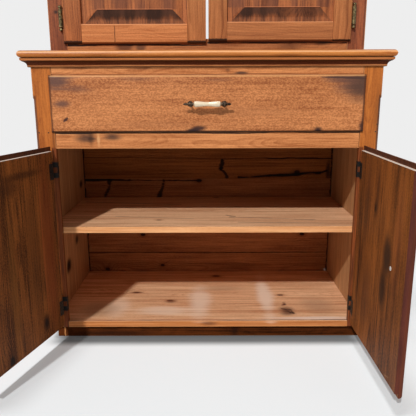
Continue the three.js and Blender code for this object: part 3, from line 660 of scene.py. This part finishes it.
def drawn_out(shape):
    """The scraped moulding stands a little further out than its plain section, over a smaller bead."""
    for point in shape.verts:
        out_front, out_side = lower_front - point.co.y, abs(point.co.x) - case_half
        if out_front > 0:
            point.co.y = lower_front - out_front * moulding_stretch
        if out_side > 0:
            point.co.x = math.copysign(case_half + out_side * moulding_stretch, point.co.x)
        up = point.co.z - moulding_foot
        if up < bead_head:
            up *= bead_shrink
        elif up < fillet_start:
            up = bead_head * bead_shrink + (up - bead_head) * cove_shrink
        point.co.z = moulding_foot + up
    return shape


for side, grain in (("front", "XZY"), ("left", "YZX"), ("right", "YZX")):
    node = f"counter_moulding_{side}"
    board_piece(
        f"cove_moulding_{side}", node, grain, "door", shape=drawn_out(copied(node)), bevel=0.0004,
        seed=23.0 + len(side), clouds=0.12, gloss=0.08,
        finish=cove_shade_and_dirt(moulding_foot, moulding_height, moulding_bead, moulding_fillet),
    )


# The upper case stands on the counter: redder, darker boards in the same joinery as the lower one.
# Its shelves and back are bare, and its two back boards stand upright with an open joint between them.
iron_black = paint(38, 30, 27)
for number, (node, grain, tone, looks) in enumerate((
    ("upper_side_left", "ZYX", "red", {}),
    ("upper_side_right", "ZYX", "red", {}),
    ("upper_stile_left", "ZXY", "red", {"streaks": 0.5, "clouds": 0.4, "stains": [
        (-0.470, 0.994, 0.009, 0.008, iron_black, 0.9), (-0.455, 0.90, 0.03, 0.05, grime_and_shade, 0.5)]}),
    ("upper_stile_right", "ZXY", "red", {"streaks": 0.5, "clouds": 0.35, "stains": [
        (0.455, 0.93, 0.02, 0.09, grime_and_shade, 0.2)]}),
    # The upper case's bottom rail has painted shadow lines just under the doors' feet.
    ("upper_bottom_rail", "XZY", "door", {"worn": 0.2, "streaks": 0.45, "cracks": [
        (-0.446, 0.8978, -0.004, 0.8978, 0.0034, soot_and_shade, 0.95), (0.004, 0.9034, 0.446, 0.9034, 0.0034, soot_and_shade, 0.95)],
        "stains": [
            (-0.262, 0.89, 0.03, 0.02, grime_and_shade, 0.8), (-0.21, 0.888, 0.018, 0.014, smoke, 0.75),
            (0.26, 0.892, 0.05, 0.02, grime_and_shade, 0.55), (0.36, 0.90, 0.03, 0.008, soot_and_shade, 0.7)]}),
    ("upper_top_rail", "XZY", "waxed", {}),
    ("upper_bottom_board", "XYZ", "inside", {}),
    ("upper_shelf_1", "XYZ", "inside", {"worn": 0.6}),
    ("upper_shelf_2", "XYZ", "inside", {"worn": 0.6}),
    ("upper_back_board_left", "ZXY", "back", {"rings": 0.5, "knots": [(-0.21, 1.31, 0.012)]}),
    ("upper_back_board_right", "ZXY", "back", {"rings": 0.5, "knots": [(0.17, 1.63, 0.011)]}),
)):
    finish_board(node, grain, tone, seed=25.0 + 1.9 * number, **looks)


# The top board and the cornice: a half round edge over a larger cove moulding in three mitred runs.
# They stand above the photograph, so they are finished as the counter and its moulding are.
def part_of(shape, *planes):
    """What lies behind every plane. A plane is a point on it and the direction that is cut away."""
    for point, outward in planes:
        cut = bmesh.ops.bisect_plane(
            shape, geom=shape.verts[:] + shape.edges[:] + shape.faces[:], dist=0.000001,
            plane_co=point, plane_no=outward, clear_outer=True,
        )
        rim = [piece for piece in cut["geom_cut"] if isinstance(piece, bmesh.types.BMEdge)]
        bmesh.ops.holes_fill(shape, edges=rim, sides=0)
    bmesh.ops.recalc_face_normals(shape, faces=shape.faces)
    return shape


joint_half = 0.00012
board_piece("top", "top_board", "XYZ", "waxed", bevel=0, seed=47.0, streaks=0.4, edges=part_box("top_board"), rub=0.003)
upper_front = -0.300
cornice_height, cornice_bead, cornice_fillet = 0.052, 0.008, 0.010
cornice_look = cove_shade_and_dirt(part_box("cornice")[0].z, cornice_height, cornice_bead, cornice_fillet)
cornice_corner = Vector((case_half, upper_front, 1.87))
for side, sign, grain in (("front", 0, "XZY"), ("left", -1, "YZX"), ("right", 1, "YZX")):
    if sign:
        corner = cornice_corner * Vector((sign, 1, 1))
        planes = [(corner + Vector((sign * joint_half, 0, 0)), (-sign, -1, 0))]
        centre = (sign * 0.51, -0.15, 1.87)
    else:
        planes = [(cornice_corner * Vector((s, 1, 1)) - Vector((s * joint_half, 0, 0)), (s, 1, 0)) for s in (-1, 1)]
        centre = (0, -0.31, 1.87)
    board_piece(
        f"cornice_{side}", "cornice", grain, "waxed", shape=part_of(copied("cornice"), *planes), bevel=0.0004,
        centre=centre, seed=49.0 + sign, finish=cornice_look, clouds=0.12,
    )


# The drawer: a box of thin bare boards behind a thick front whose rounded lip laps over the opening. It
# rides on two runners let in behind the face frame. Its front is scuffed dark at the corners.
for number, (node, grain) in enumerate((
    ("drawer_runner_left", "YZX"), ("drawer_runner_right", "YZX"), ("drawer_side_left", "YZX"),
    ("drawer_side_right", "YZX"), ("drawer_back", "XZY"), ("drawer_bottom", "XYZ"),
)):
    finish_board(node, grain, "inside", width=0.0008, seed=53.0 + 1.7 * number, worn=0.2, roughness=0.65)

scuff = paint(94, 62, 52)
bruise = paint(52, 30, 28)
dull = paint(150, 92, 56)
drawer_low, drawer_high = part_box("drawer_front")
lip = 0.0085


def lip_shade(look):
    """The front's rounded side edges and its foot have painted shade, and its top edge is lighter."""
    wander = look.swayed(look.times(look.streak, 0.0006), 0.0006, look.cloud)
    out, up = look.plus(look.math("ABSOLUTE", look.x), wander), look.plus(look.z, wander)
    look.coat(look.ramp(up, drawer_high.z - lip * 0.7, drawer_high.z - lip * 0.45, 0, 0.6), worn_wood)
    # Painted shade down the rounded side edges.
    look.coat(look.ramp(out, drawer_high.x - lip, drawer_high.x - lip * 0.55, 0, 0.8), grime_and_shade)
    # Painted shade along the lip's foot.
    look.coat(look.ramp(up, drawer_low.z + lip * 0.35, drawer_low.z + lip * 0.75, 0.9, 0), soot_and_shade)


board_piece(
    "drawer_front_board", "drawer_front", "XZY", tone="drawer", body="drawer", bevel=0.0005, seed=65.0, rings=0.1,
    streaks=0.24, clouds=0.38, dapple=0.33, roughness=0.45, finish=lip_shade, face=drawer_low.y,
    knots=[(-0.404, 0.678, 0.0035)],
    cracks=[(-0.409, 0.675, -0.400, 0.682, 0.003, paint(66, 40, 36), 0.85),
            (0.32, 0.7905, 0.452, 0.7905, 0.0036, paint(66, 44, 38), 0.8)],
    stains=[
        (-0.425, 0.782, 0.066, 0.034, scuff, 0.95), (-0.37, 0.765, 0.06, 0.016, scuff, 0.6),
        (-0.045, 0.646, 0.020, 0.009, bruise, 0.95), (-0.034, 0.651, 0.018, 0.010, bruise, 0.95),
        (-0.022, 0.655, 0.024, 0.009, bruise, 0.95), (0.317, 0.647, 0.016, 0.012, bruise, 1.0),
        (0.444, 0.658, 0.013, 0.026, bruise, 1.0), (-0.20, 0.789, 0.07, 0.008, scuff, 0.4),
        (0.03, 0.787, 0.06, 0.008, scuff, 0.35), (-0.412, 0.723, 0.034, 0.014, scuff, 0.85),
        (0.420, 0.775, 0.085, 0.050, scuff, 0.85), (0.437, 0.765, 0.055, 0.042, smoke, 0.75),
        (0.365, 0.788, 0.06, 0.016, scuff, 0.7), (0.10, 0.70, 0.20, 0.02, dull, 0.3),
        (-0.12, 0.665, 0.2, 0.014, dull, 0.3)],
)


# The pull: a waisted grip of cream glazed ceramic on a metal rod, held by two turned posts that are
# screwed through the drawer front, with a ball at each end. The metal has gone dark brown.
def spun(shape, profile, place, sides=32):
    """Adds a turned body to a shape. The profile is (radius, height) pairs from foot to head, in metres."""
    rings = []
    for radius, height in profile:
        turns = (2 * math.pi * i / sides for i in range(sides if radius else 1))
        spots = (Vector((radius * math.cos(turn), radius * math.sin(turn), height)) for turn in turns)
        rings.append([shape.verts.new(place @ spot) for spot in spots])
    for low, high in zip(rings, rings[1:]):
        for i in range(sides):
            corners = [low[i % len(low)], low[(i + 1) % len(low)], high[(i + 1) % len(high)], high[i % len(high)]]
            shape.faces.new(list(dict.fromkeys(corners)))


def metal(name, light, dark, roughness, metallic, bump=0.25):
    """Old metal: dull, darker in patches, a little pitted."""
    look = new_look(name)
    patches, pits = look.noise(look.place, 190.0, 4.0, 0.6), look.noise(look.place, 900.0, 3.0, 0.6)
    share = look.plus(look.ramp(patches, 0.38, 0.62), look.ramp(pits, 0.35, 0.7, -0.2, 0.2, "LINEAR"))
    shader = look.node("ShaderNodeBsdfPrincipled", {
        "Base Color": look.mix(share, light, dark), "Metallic": metallic,
        "Roughness": look.ramp(patches, 0.35, 0.65, roughness - 0.08, roughness + 0.14, "LINEAR"),
        "Normal": look.node("ShaderNodeBump", {"Strength": bump, "Distance": 0.0004, "Height": pits}),
    })
    look.end("ShaderNodeOutputMaterial", shader)
    return look.material


def glazed(name, light, crazed, stained):
    """Cream glaze over clay: glossy, finely crazed, a little brown where it meets the metal."""
    look = new_look(name)
    cells = look.node("ShaderNodeTexVoronoi", {"Vector": look.place, "Scale": 260.0}, feature="DISTANCE_TO_EDGE")
    patches = look.noise(look.place, 60.0, 3.0)
    look.colour = look.mix(look.ramp(patches, 0.4, 0.65, 0, 0.35), light, crazed)
    look.coat(look.ramp(cells, 0.0, 0.035, 0.35, 0), stained)
    look.coat(look.ramp(look.math("ABSOLUTE", look.x), 0.033, 0.038, 0, 0.6), stained)
    inputs = {"Base Color": look.colour, "Roughness": 0.16, "Coat Weight": 0.5, "Coat Roughness": 0.08}
    look.end("ShaderNodeOutputMaterial", look.node("ShaderNodeBsdfPrincipled", inputs))
    return look.material


dark_metal = metal("dark_metal", paint(112, 94, 76), paint(30, 23, 19), roughness=0.36, metallic=0.8)
cream_glaze = glazed("cream_glaze", paint(226, 208, 178), paint(212, 188, 150), paint(140, 104, 68))
pull_height = (drawer_low.z + drawer_high.z) / 2
grip_stand_off = 0.027
post_spread = 0.048
rod_radius, rod_half = 0.0026, 0.06
ball_radius, ball_steps = 0.0049, 12
post_profile = [
    (0, -0.0188), (0.0024, -0.0188), (0.0024, 0.0003), (0.0080, 0.0003), (0.0082, 0.0012), (0.0072, 0.0024),
    (0.0052, 0.0036), (0.0040, 0.0046), (0.0036, 0.0060), (0.0044, 0.0078), (0.0046, 0.0086), (0.0036, 0.0100),
    (0.0031, 0.0130), (0.0032, 0.0180), (0.0040, 0.0215), (0.0044, 0.0270), (0, 0.0270),
]
tip_profile = [
    (0, 0.002), (0.0028, 0.0048), (0.0026, 0.0060), (0.0040, 0.0072), (0.0044, 0.0082), (0.0030, 0.0094),
    (0.0027, 0.0106), (0.0036, 0.0118), (0.0040, 0.0130), (0.0034, 0.0146), (0.0024, 0.0164), (0.0016, 0.0182),
    (0.0010, 0.0196), (0, 0.0204),
]
collar_profile = [(0, 0.004), (0.0046, 0.006), (0.0052, 0.0078), (0.0048, 0.0092), (0, 0.0094)]
ball_angles = [math.pi * step / ball_steps for step in range(1, ball_steps)]
ball_profile = [(0, -ball_radius), *((ball_radius * math.sin(a), -ball_radius * math.cos(a)) for a in ball_angles),
                (0, ball_radius)]
across = Matrix.Translation((0, drawer_low.y - grip_stand_off, pull_height)) @ Matrix.Rotation(math.pi / 2, 4, "Y")
half_turn = Matrix.Rotation(math.pi, 4, "X")
metalwork = bmesh.new()
spun(metalwork, [(0, -rod_half), (rod_radius, -rod_half), (rod_radius, rod_half), (0, rod_half)], across, sides=24)
for sign in (-1, 1):
    post_place = Matrix.Translation((sign * post_spread, drawer_low.y, pull_height))
    spun(metalwork, post_profile, post_place @ Matrix.Rotation(math.pi / 2, 4, "X"))
    end_place = across @ Matrix.Translation((0, 0, sign * post_spread))
    spun(metalwork, ball_profile, end_place)
    spun(metalwork, tip_profile, end_place if sign > 0 else end_place @ half_turn)
    spun(metalwork, collar_profile, end_place @ half_turn if sign > 0 else end_place)
bmesh.ops.recalc_face_normals(metalwork, faces=metalwork.faces)
finished("pull_metalwork", metalwork, dark_metal, "drawer", ["pull_bar"], bevel=0)

half_grip = [
    (0.0, 0.0059), (0.005, 0.0060), (0.010, 0.0063), (0.0155, 0.0069), (0.020, 0.0075), (0.0245, 0.0080),
    (0.0285, 0.0083), (0.0316, 0.0083), (0.0322, 0.0079), (0.0328, 0.0082), (0.0352, 0.0080), (0.0366, 0.0074),
    (0.0375, 0.0062), (0.038, 0.0046),
]
bore = 0.00295
grip_half = half_grip[-1][0]
outline = [(r, -x) for x, r in reversed(half_grip)] + [(r, x) for x, r in half_grip[1:]]
grip_shape = bmesh.new()
spun(grip_shape, [(bore, -grip_half), *outline, (bore, grip_half), (bore, -grip_half)], across, sides=48)
bmesh.ops.remove_doubles(grip_shape, verts=grip_shape.verts, dist=0.00001)
bmesh.ops.recalc_face_normals(grip_shape, faces=grip_shape.faces)
finished("pull_grip_glazed", grip_shape, cream_glaze, "drawer", ["pull_grip"], bevel=0, smooth=50)


# The lower doors: plain pine boards with a rounded lip, waxed in front and stained dark behind, hung
# open. The ledge behind the lip has a painted sheen and the lip above it painted shade, and their meeting edges are red
# with handling.
hinge_axis = (0.4554, -0.540)
left_open, right_open = -math.radians(104.00004), math.radians(90.50004)
lip_depth = -0.5352
door_back = -0.5257
body_head = 0.604 - 0.0122


def door_faces(sign):
    """Closed, the door's front is at the lowest y. Its stained back, ledges and edges differ from it."""
    meeting_edge = (paint(96, 44, 37), paint(50, 22, 19)) if sign > 0 else (paint(122, 58, 44), paint(58, 26, 22))

    def finish(look):
        share = look.swayed(look.swayed(0.5, 0.25, look.cloud), 0.4, look.streak)
        front = look.ramp(look.y, lip_depth - 0.0012, lip_depth - 0.0004, 1, 0)
        look.coat(front, look.mix(share, *tones["stile"][:2]))
        near = look.times(look.x, sign)
        look.coat(look.ramp(near, 0.0018, 0.0030, 0.9, 0), look.mix(share, *meeting_edge))
        # Painted sheen on the ledge behind the lip.
        above = look.ramp(look.z, body_head - 0.0009, body_head - 0.0002)
        ledge_sheen = look.times(above, look.ramp(look.y, lip_depth + 0.0004, lip_depth + 0.0012))
        look.coat(look.times(ledge_sheen, 0.9), paint(208, 196, 184))
        # Painted shade on the lip's top band above the ledge.
        above = look.ramp(look.z, body_head + 0.0004, body_head + 0.0012)
        edge = look.times(above, look.ramp(look.y, lip_depth + 0.0003, lip_depth + 0.0008, 0.8, 0))
        look.coat(edge, paint(64, 33, 24))
    return finish


def opened(point, sign, angle):
    """A closed door's point, where it stands with the door open."""
    pivot = Vector((sign * hinge_axis[0], hinge_axis[1], 0))
    return Matrix.Rotation(angle, 3, "Z") @ (Vector(point) - pivot) + pivot


for side, sign, angle, looks in (
    ("left", -1, left_open, {
        "seed": 71.0, "ring": 0.0085, "heart": 0.022, "streaks": 0.4,
        "knots": [(-0.337, 0.105, 0.009), (-0.152, 0.066, 0.013)],
        "stains": [
            (-0.27, 0.545, 0.13, 0.014, soot_and_shade, 0.6), (-0.20, 0.52, 0.06, 0.03, paint(56, 29, 15), 0.6),
            (-0.385, 0.32, 0.045, 0.34, paint(120, 50, 24), 0.55), (-0.353, 0.32, 0.008, 0.28, paint(160, 82, 40), 0.5),
            (-0.30, 0.30, 0.04, 0.22, paint(70, 40, 20), 0.45), (-0.19, 0.25, 0.03, 0.26, paint(134, 84, 36), 0.4),
            (-0.337, 0.105, 0.022, 0.034, soot_and_shade, 0.7), (-0.440, 0.33, 0.012, 0.3, paint(60, 28, 18), 0.7)],
    }),
    ("right", 1, right_open, {
        "seed": 77.0, "ring": 0.0075, "heart": 0.03, "streaks": 0.42,
        "knots": [(0.26, 0.46, 0.008)],
        "stains": [
            (0.136, 0.36, 0.042, 0.062, paint(48, 34, 26), 0.9), (0.155, 0.27, 0.036, 0.072, paint(42, 26, 18), 0.9),
            (0.25, 0.50, 0.02, 0.09, paint(64, 34, 20), 0.6), (0.34, 0.45, 0.03, 0.16, paint(70, 38, 24), 0.5),
            (0.445, 0.32, 0.012, 0.32, paint(84, 42, 30), 0.6), (0.437, 0.105, 0.020, 0.03, paint(112, 88, 76), 0.8),
            (0.30, 0.20, 0.05, 0.12, paint(76, 42, 26), 0.5), (0.07, 0.40, 0.04, 0.2, paint(150, 84, 44), 0.45)],
        "cracks": [(0.055, 0.075, 0.085, 0.067, 0.002, paint(160, 120, 84), 0.7)],
    }),
):
    node = f"lower_door_{side}"
    material = pine(
        node, "ZXY", (sign * 0.225, door_back, 0.32), "stained", turn=((sign * hinge_axis[0], hinge_axis[1], 0), angle),
        face=door_back, depth=0.01, rings=0.4, clouds=0.45, dapple=0.22, finish=door_faces(sign), roughness=0.6,
        gloss=0.12, **looks,
    )
    finished(f"{node}_board", copied(node), material, node, [node], bevel=0.0006)


# The upper doors: stiles and rails glued and pegged round a raised panel. Handling and smoke have
# blackened the panels' lower bevels and the end grain at the stiles' feet.
def darkened_foot(foot, height=0.0105):
    """End grain at a stile's foot has drunk in the dirt."""
    def finish(look):
        up = look.swayed(look.minus(look.z, foot), 0.0012, look.streak)
        look.coat(look.ramp(up, height * 0.7, height, 0.93, 0), soot_and_shade)
    return finish


def rail_head_highlight(head, foot):
    """A rail's upper arris has a painted highlight, and its foot is a little dark."""
    def finish(look):
        z = look.swayed(look.z, 0.0008, look.streak)
        look.coat(look.ramp(z, head - 0.0035, head - 0.0015, 0, 0.7), paint(230, 160, 110))
        look.coat(look.ramp(z, foot + 0.004, foot + 0.007, 0.7, 0), grime_and_shade)
    return finish


def smoky_bevel(low, high, west_shift, east_shift, far_strength):
    """Smoke streaks fall from the raised field's lower edge over the bevel."""
    field_foot = low.z + field_inset
    field_west, field_east = low.x + field_inset + west_shift, high.x - field_inset + east_shift

    def finish(look):
        runs = look.noise(look.vector("MULTIPLY", look.place, (260, 1, 14)), 1.0, 3.0, 0.6)
        broad = look.noise(look.vector("MULTIPLY", look.place, (28, 1, 6)), 1.0, 2.0)
        down = look.minus(field_foot, look.z)
        fall = look.swayed(down, 0.0045, look.ramp(runs, 0.3, 0.7, -1, 1, "LINEAR"))
        fall = look.swayed(fall, 0.005, look.ramp(broad, 0.35, 0.65, -1, 1, "LINEAR"))
        off_left, off_right = look.minus(look.x, field_west), look.minus(field_east, look.x)
        off_side = look.least(off_left, off_right)
        thick = look.times(look.ramp(fall, 0.016, 0.038, 0.94, 0.3), look.ramp(down, -0.0004, 0.0004))
        thick = look.times(thick, look.ramp(off_left, 0.08, 0.14, 1, far_strength))
        thick = look.times(thick, look.ramp(look.plus(off_side, down), -0.001, 0.001))
        look.coat(thick, look.mix(look.ramp(broad, 0.4, 0.6), paint(44, 30, 24), paint(74, 49, 37)))
        bands = look.times(look.ramp(broad, 0.42, 0.6, 0, 0.6), look.ramp(down, 0.0, -0.001, 0, 1))
        look.coat(bands, paint(98, 58, 44))
        line = look.times(look.ramp(down, -0.0026, -0.0016), look.ramp(down, -0.0008, 0, 1, 0))
        line = look.times(line, look.ramp(off_side, -0.001, 0.001))
        look.coat(look.times(line, 0.6), paint(206, 128, 86))
    return finish


member = 0.058
rail_slack = 0.1
field_inset = 0.05
field_reach = 0.001
for side, sign, west_tone, rail_tone, east_foot, field_shifts, far_strength in (
    ("left", -1, "brown", "waxed", 0.0105, (0.009, -0.003), 1),
    ("right", 1, "door", "door", 0.007, (0.011, -0.001), 0.72),
):
    door = f"upper_door_{side}"
    node = f"{door}_frame"
    low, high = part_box(node)
    foot, head = low.z + member, high.z - member
    west, east = low.x + member, high.x - member
    shoulders = [((west + joint_half, low.y, 0), (-1, 0, 0)), ((east - joint_half, low.y, 0), (1, 0, 0))]
    # The left door's west stile has a painted shadow line beside the hinge barrel, and its bottom rail a dark split.
    shadow_and_split_lines = {"west_stile": [(low.x, 0.946, low.x, 1.004, 0.005, soot_and_shade, 0.95)],
              "bottom_rail": [(-0.288, 0.905, -0.2885, 0.952, 0.0016, soot_and_shade, 0.75)]} if sign < 0 else {}
    for name, grain, tone, planes, centre, looks in (
        ("west_stile", "ZXY", west_tone, [((west - joint_half, low.y, 0), (1, 0, 0))], (low.x + 0.03, low.y, 1.3),
         {"finish": darkened_foot(low.z), "rings": 0.5}),
        ("east_stile", "ZXY", "door", [((east + joint_half, low.y, 0), (-1, 0, 0))], (high.x - 0.03, low.y, 1.3),
         {"finish": darkened_foot(low.z, east_foot), "rings": 0.5}),
        ("bottom_rail", "XZY", rail_tone, [*shoulders, ((0, low.y, foot + rail_slack), (0, 0, 1))],
         (sign * 0.22, low.y, foot), {"finish": rail_head_highlight(foot, low.z), "streaks": 0.42, "rings": 0.2}),
        ("top_rail", "XZY", "waxed", [*shoulders, ((0, low.y, head - rail_slack), (0, 0, -1))],
         (sign * 0.22, low.y, head), {}),
    ):
        board_piece(
            f"{door}_{name}", node, grain, tone, door, part_of(copied(node), *planes), bevel=0.0009, centre=centre,
            face=low.y, seed=81.0 + sign * 3 + len(name), cracks=shadow_and_split_lines.get(name, ()), **looks,
        )
    panel = f"{door}_panel"
    panel_low, panel_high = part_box(panel)
    shape = copied(panel)
    for point in shape.verts:
        for edge, shift in zip((panel_low.x + field_inset, panel_high.x - field_inset), field_shifts):
            if abs(point.co.x - edge) < field_reach:
                point.co.x += shift
    board_piece(
        f"{door}_raised_panel", panel, "ZXY", "brown", door, shape, bevel=0, smooth=10, seed=91.0 + sign, rings=0.5,
        streaks=0.5, clouds=0.35, finish=smoky_bevel(panel_low, panel_high, *field_shifts, far_strength),
    )


# The hinges: brass butt hinges with ball ends, let in behind the doors' lips. The lower doors' hinges
# have gone black.
old_brass = metal("old_brass", paint(132, 116, 78), paint(62, 50, 33), roughness=0.42, metallic=0.8)
black_leaf = metal("black_leaf", paint(30, 24, 20), paint(9, 7, 6), roughness=0.5, metallic=0.4, bump=0.4)
upper_hinge_y = -0.308
barrel_radius = 0.0056
barrel_growth = 1.25


def fuller_barrel(shape):
    """The upper doors' hinges have fuller barrels and balls than the plain ones."""
    for point in shape.verts:
        axis = Vector((math.copysign(hinge_axis[0], point.co.x), upper_hinge_y, point.co.z))
        if (point.co - axis).length < barrel_radius:
            point.co = axis + (point.co - axis) * barrel_growth
    return shape


for door in ("lower_door_left", "upper_door_left", "lower_door_right", "upper_door_right"):
    upper = door.startswith("upper")
    for end in ("bottom", "top"):
        for leaf, body, slot in (("frame", "case", "aged_brass"), ("door", door, "black_iron")):
            node = f"{door}_hinge_{end}_{leaf}_leaf"
            shape = fuller_barrel(copied(node)) if upper else copied(node)
            finished(f"{door}_{end}_{leaf}_hinge", shape, old_brass if upper else black_leaf, body, [node],
                     bevel=0.0002, smooth=30)


# Screws and nails: the hinges' slotted screws, one bright screw in the right door, and the iron nails
# that hold the back boards and the face frame. Each is a low domed head, slotted or plain.
def heads_tree():
    """Puts a domed head on every point, turned to face along the point's own direction."""
    tree = bpy.data.node_groups.new("fixing_heads", "GeometryNodeTree")
    sockets = {}
    for name, kind in (("Points", "Geometry"), ("Radius", "Float"), ("Rise", "Float"), ("Slot", "Float"),
                       ("Slotted", "Bool"), ("Seed", "Int"), ("Finish", "Material")):
        sockets[name] = tree.interface.new_socket(name, in_out="INPUT", socket_type=f"NodeSocket{kind}").identifier
    tree.interface.new_socket("Heads", in_out="OUTPUT", socket_type="NodeSocketGeometry")
    look = Look(tree)
    given = look.node("NodeGroupInput", output=None).outputs
    dome = look.node("GeometryNodeMeshUVSphere", {"Segments": 18, "Rings": 10})
    scale = look.node("ShaderNodeCombineXYZ", {0: given["Radius"], 1: given["Radius"], 2: given["Rise"]})
    dome = look.node("GeometryNodeTransform", {"Geometry": dome, "Scale": scale})
    wide = look.times(given["Radius"], 2.4)
    size = look.node("ShaderNodeCombineXYZ", {0: wide, 1: given["Slot"], 2: given["Rise"]})
    lift = look.node("ShaderNodeCombineXYZ", {2: look.times(given["Rise"], 0.95)})
    cutter = look.node("GeometryNodeMeshCube", {"Size": size})
    cutter = look.node("GeometryNodeTransform", {"Geometry": cutter, "Translation": lift})
    slotted = look.node("GeometryNodeMeshBoolean", {"Mesh 1": dome, "Mesh 2": cutter}, operation="DIFFERENCE")
    chosen = look.node(
        "GeometryNodeSwitch", {"Switch": given["Slotted"], "False": dome, "True": slotted}, input_type="GEOMETRY")
    facing = look.node("GeometryNodeInputNamedAttribute", {"Name": "facing"}, data_type="FLOAT_VECTOR")
    turned = look.node("FunctionNodeAlignRotationToVector", {"Vector": facing}, axis="Z")
    placed = look.node(
        "GeometryNodeInstanceOnPoints", {"Points": given["Points"], "Instance": chosen, "Rotation": turned})
    spin = look.node("FunctionNodeRandomValue", {"Seed": given["Seed"], 2: -1.5, 3: 1.5}, 1, data_type="FLOAT")
    spin = look.node("ShaderNodeCombineXYZ", {2: spin})
    placed = look.node("GeometryNodeRotateInstances", {"Instances": placed, "Rotation": spin, "Local Space": True})
    real = look.node("GeometryNodeRealizeInstances", {0: placed})
    real = look.node("GeometryNodeSetMaterial", {"Geometry": real, "Material": given["Finish"]})
    look.node("NodeGroupOutput", {0: real}, None)
    return tree, sockets


heads, head_sockets = heads_tree()


def fix_heads(name, points, body, slot, finish, radius, rise, slotted, seed=1):
    """points are (place, facing) pairs in the row frame."""
    mesh = bpy.data.meshes.new(f"{name}_points")
    mesh.from_pydata([tuple(place) for place, _ in points], [], [])
    directions = mesh.attributes.new("facing", "FLOAT_VECTOR", "POINT")
    directions.data.foreach_set("vector", [axis for _, facing in points for axis in facing])
    holder = added(f"{name}_points", mesh)
    modifier = holder.modifiers.new("heads", "NODES")
    modifier.node_group = heads
    for key, value in (("Radius", radius), ("Rise", rise), ("Slot", radius * 0.32), ("Slotted", slotted),
                       ("Seed", seed), ("Finish", finish)):
        modifier[head_sockets[key]] = value
    made = bpy.data.meshes.new_from_object(holder.evaluated_get(bpy.context.evaluated_depsgraph_get()))
    bpy.data.objects.remove(holder)
    made.name = name
    ridden(name, made, 40, body)


nail_iron = metal("nail_iron", paint(70, 54, 44), paint(26, 19, 16), roughness=0.6, metallic=0.5, bump=0.4)
bright_screw = metal("bright_screw", paint(226, 224, 220), paint(160, 158, 152), roughness=0.35, metallic=0.6)
frame_leaf_face, frame_leaf_middle = 0.4389, 0.0115
frame_screw_step, door_screw_step = 0.0145, 0.0155
door_leaf_face = 0.0074
outer_screws, middle_screw = 0.4325, 0.4235
screw_head = {"radius": 0.0026, "rise": 0.0006, "slotted": True}
for level, front, finish, swings in (
    ("lower", lower_front, nail_iron, (left_open, right_open)), ("upper", upper_front, old_brass, (0.0, 0.0)),
):
    frame_screws = []
    for side, sign, swing in (("left", -1, swings[0]), ("right", 1, swings[1])):
        door = f"{level}_door_{side}"
        facing = tuple(Matrix.Rotation(swing, 3, "Z") @ Vector((0, 1, 0)))
        door_screws = []
        for end in ("bottom", "top"):
            low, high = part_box(f"{door}_hinge_{end}_frame_leaf")
            middle = (low.z + high.z) / 2
            for step in (-1, 0, 1):
                height = middle + step * frame_screw_step
                frame_screws.append(((sign * frame_leaf_face, front + frame_leaf_middle, height), (-sign, 0, 0)))
                out = sign * (outer_screws if step else middle_screw)
                spot = (out, front + door_leaf_face, middle + step * door_screw_step)
                door_screws.append((opened(spot, sign, swing), facing))
        fix_heads(f"{door}_hinge_screws", door_screws, door, "black_iron", finish, seed=3, **screw_head)
    fix_heads(f"{level}_frame_hinge_screws", frame_screws, "case", "aged_brass", old_brass, seed=5, **screw_head)
spot = opened((0.105, door_back, 0.341), 1, right_open)
facing = tuple(Matrix.Rotation(right_open, 3, "Z") @ Vector((0, 1, 0)))
fix_heads("bright_door_screw", [(spot, facing)], "lower_door_right", "black_iron", bright_screw,
          radius=0.0058, rise=0.0026, slotted=True)
rear = 0.006
rear_inset = 0.4795
side_nails = (0.03, 0.11, 0.165, 0.29, 0.405, 0.455, 0.60, 0.72, 0.82, 0.90, 1.06, 1.25, 1.43, 1.62, 1.80)
board_heights = (0.0475, 0.3485, 0.905, 1.2055, 1.506)
board_nails = (-0.36, -0.2, -0.05, 0.06, 0.21, 0.35)
front_nails = ((-0.458, 0.6418), (-0.4852, 0.6418), (0.488, 0.663), (0.4845, 0.6425))
draws = random.Random(7)
nails = [((x, lower_front, z), (0, -1, 0)) for x, z in front_nails]
for sign in (-1, 1):
    nails += [((sign * (rear_inset + draws.uniform(-0.002, 0.002)), rear, z), (0, 1, 0)) for z in side_nails]
for height in board_heights:
    nails += [((x + draws.uniform(-0.01, 0.01), rear, height), (0, 1, 0)) for x in board_nails]
fix_heads("case_nails", nails, "case", "black_iron", nail_iron, radius=0.0021, rise=0.0007, slotted=False, seed=9)
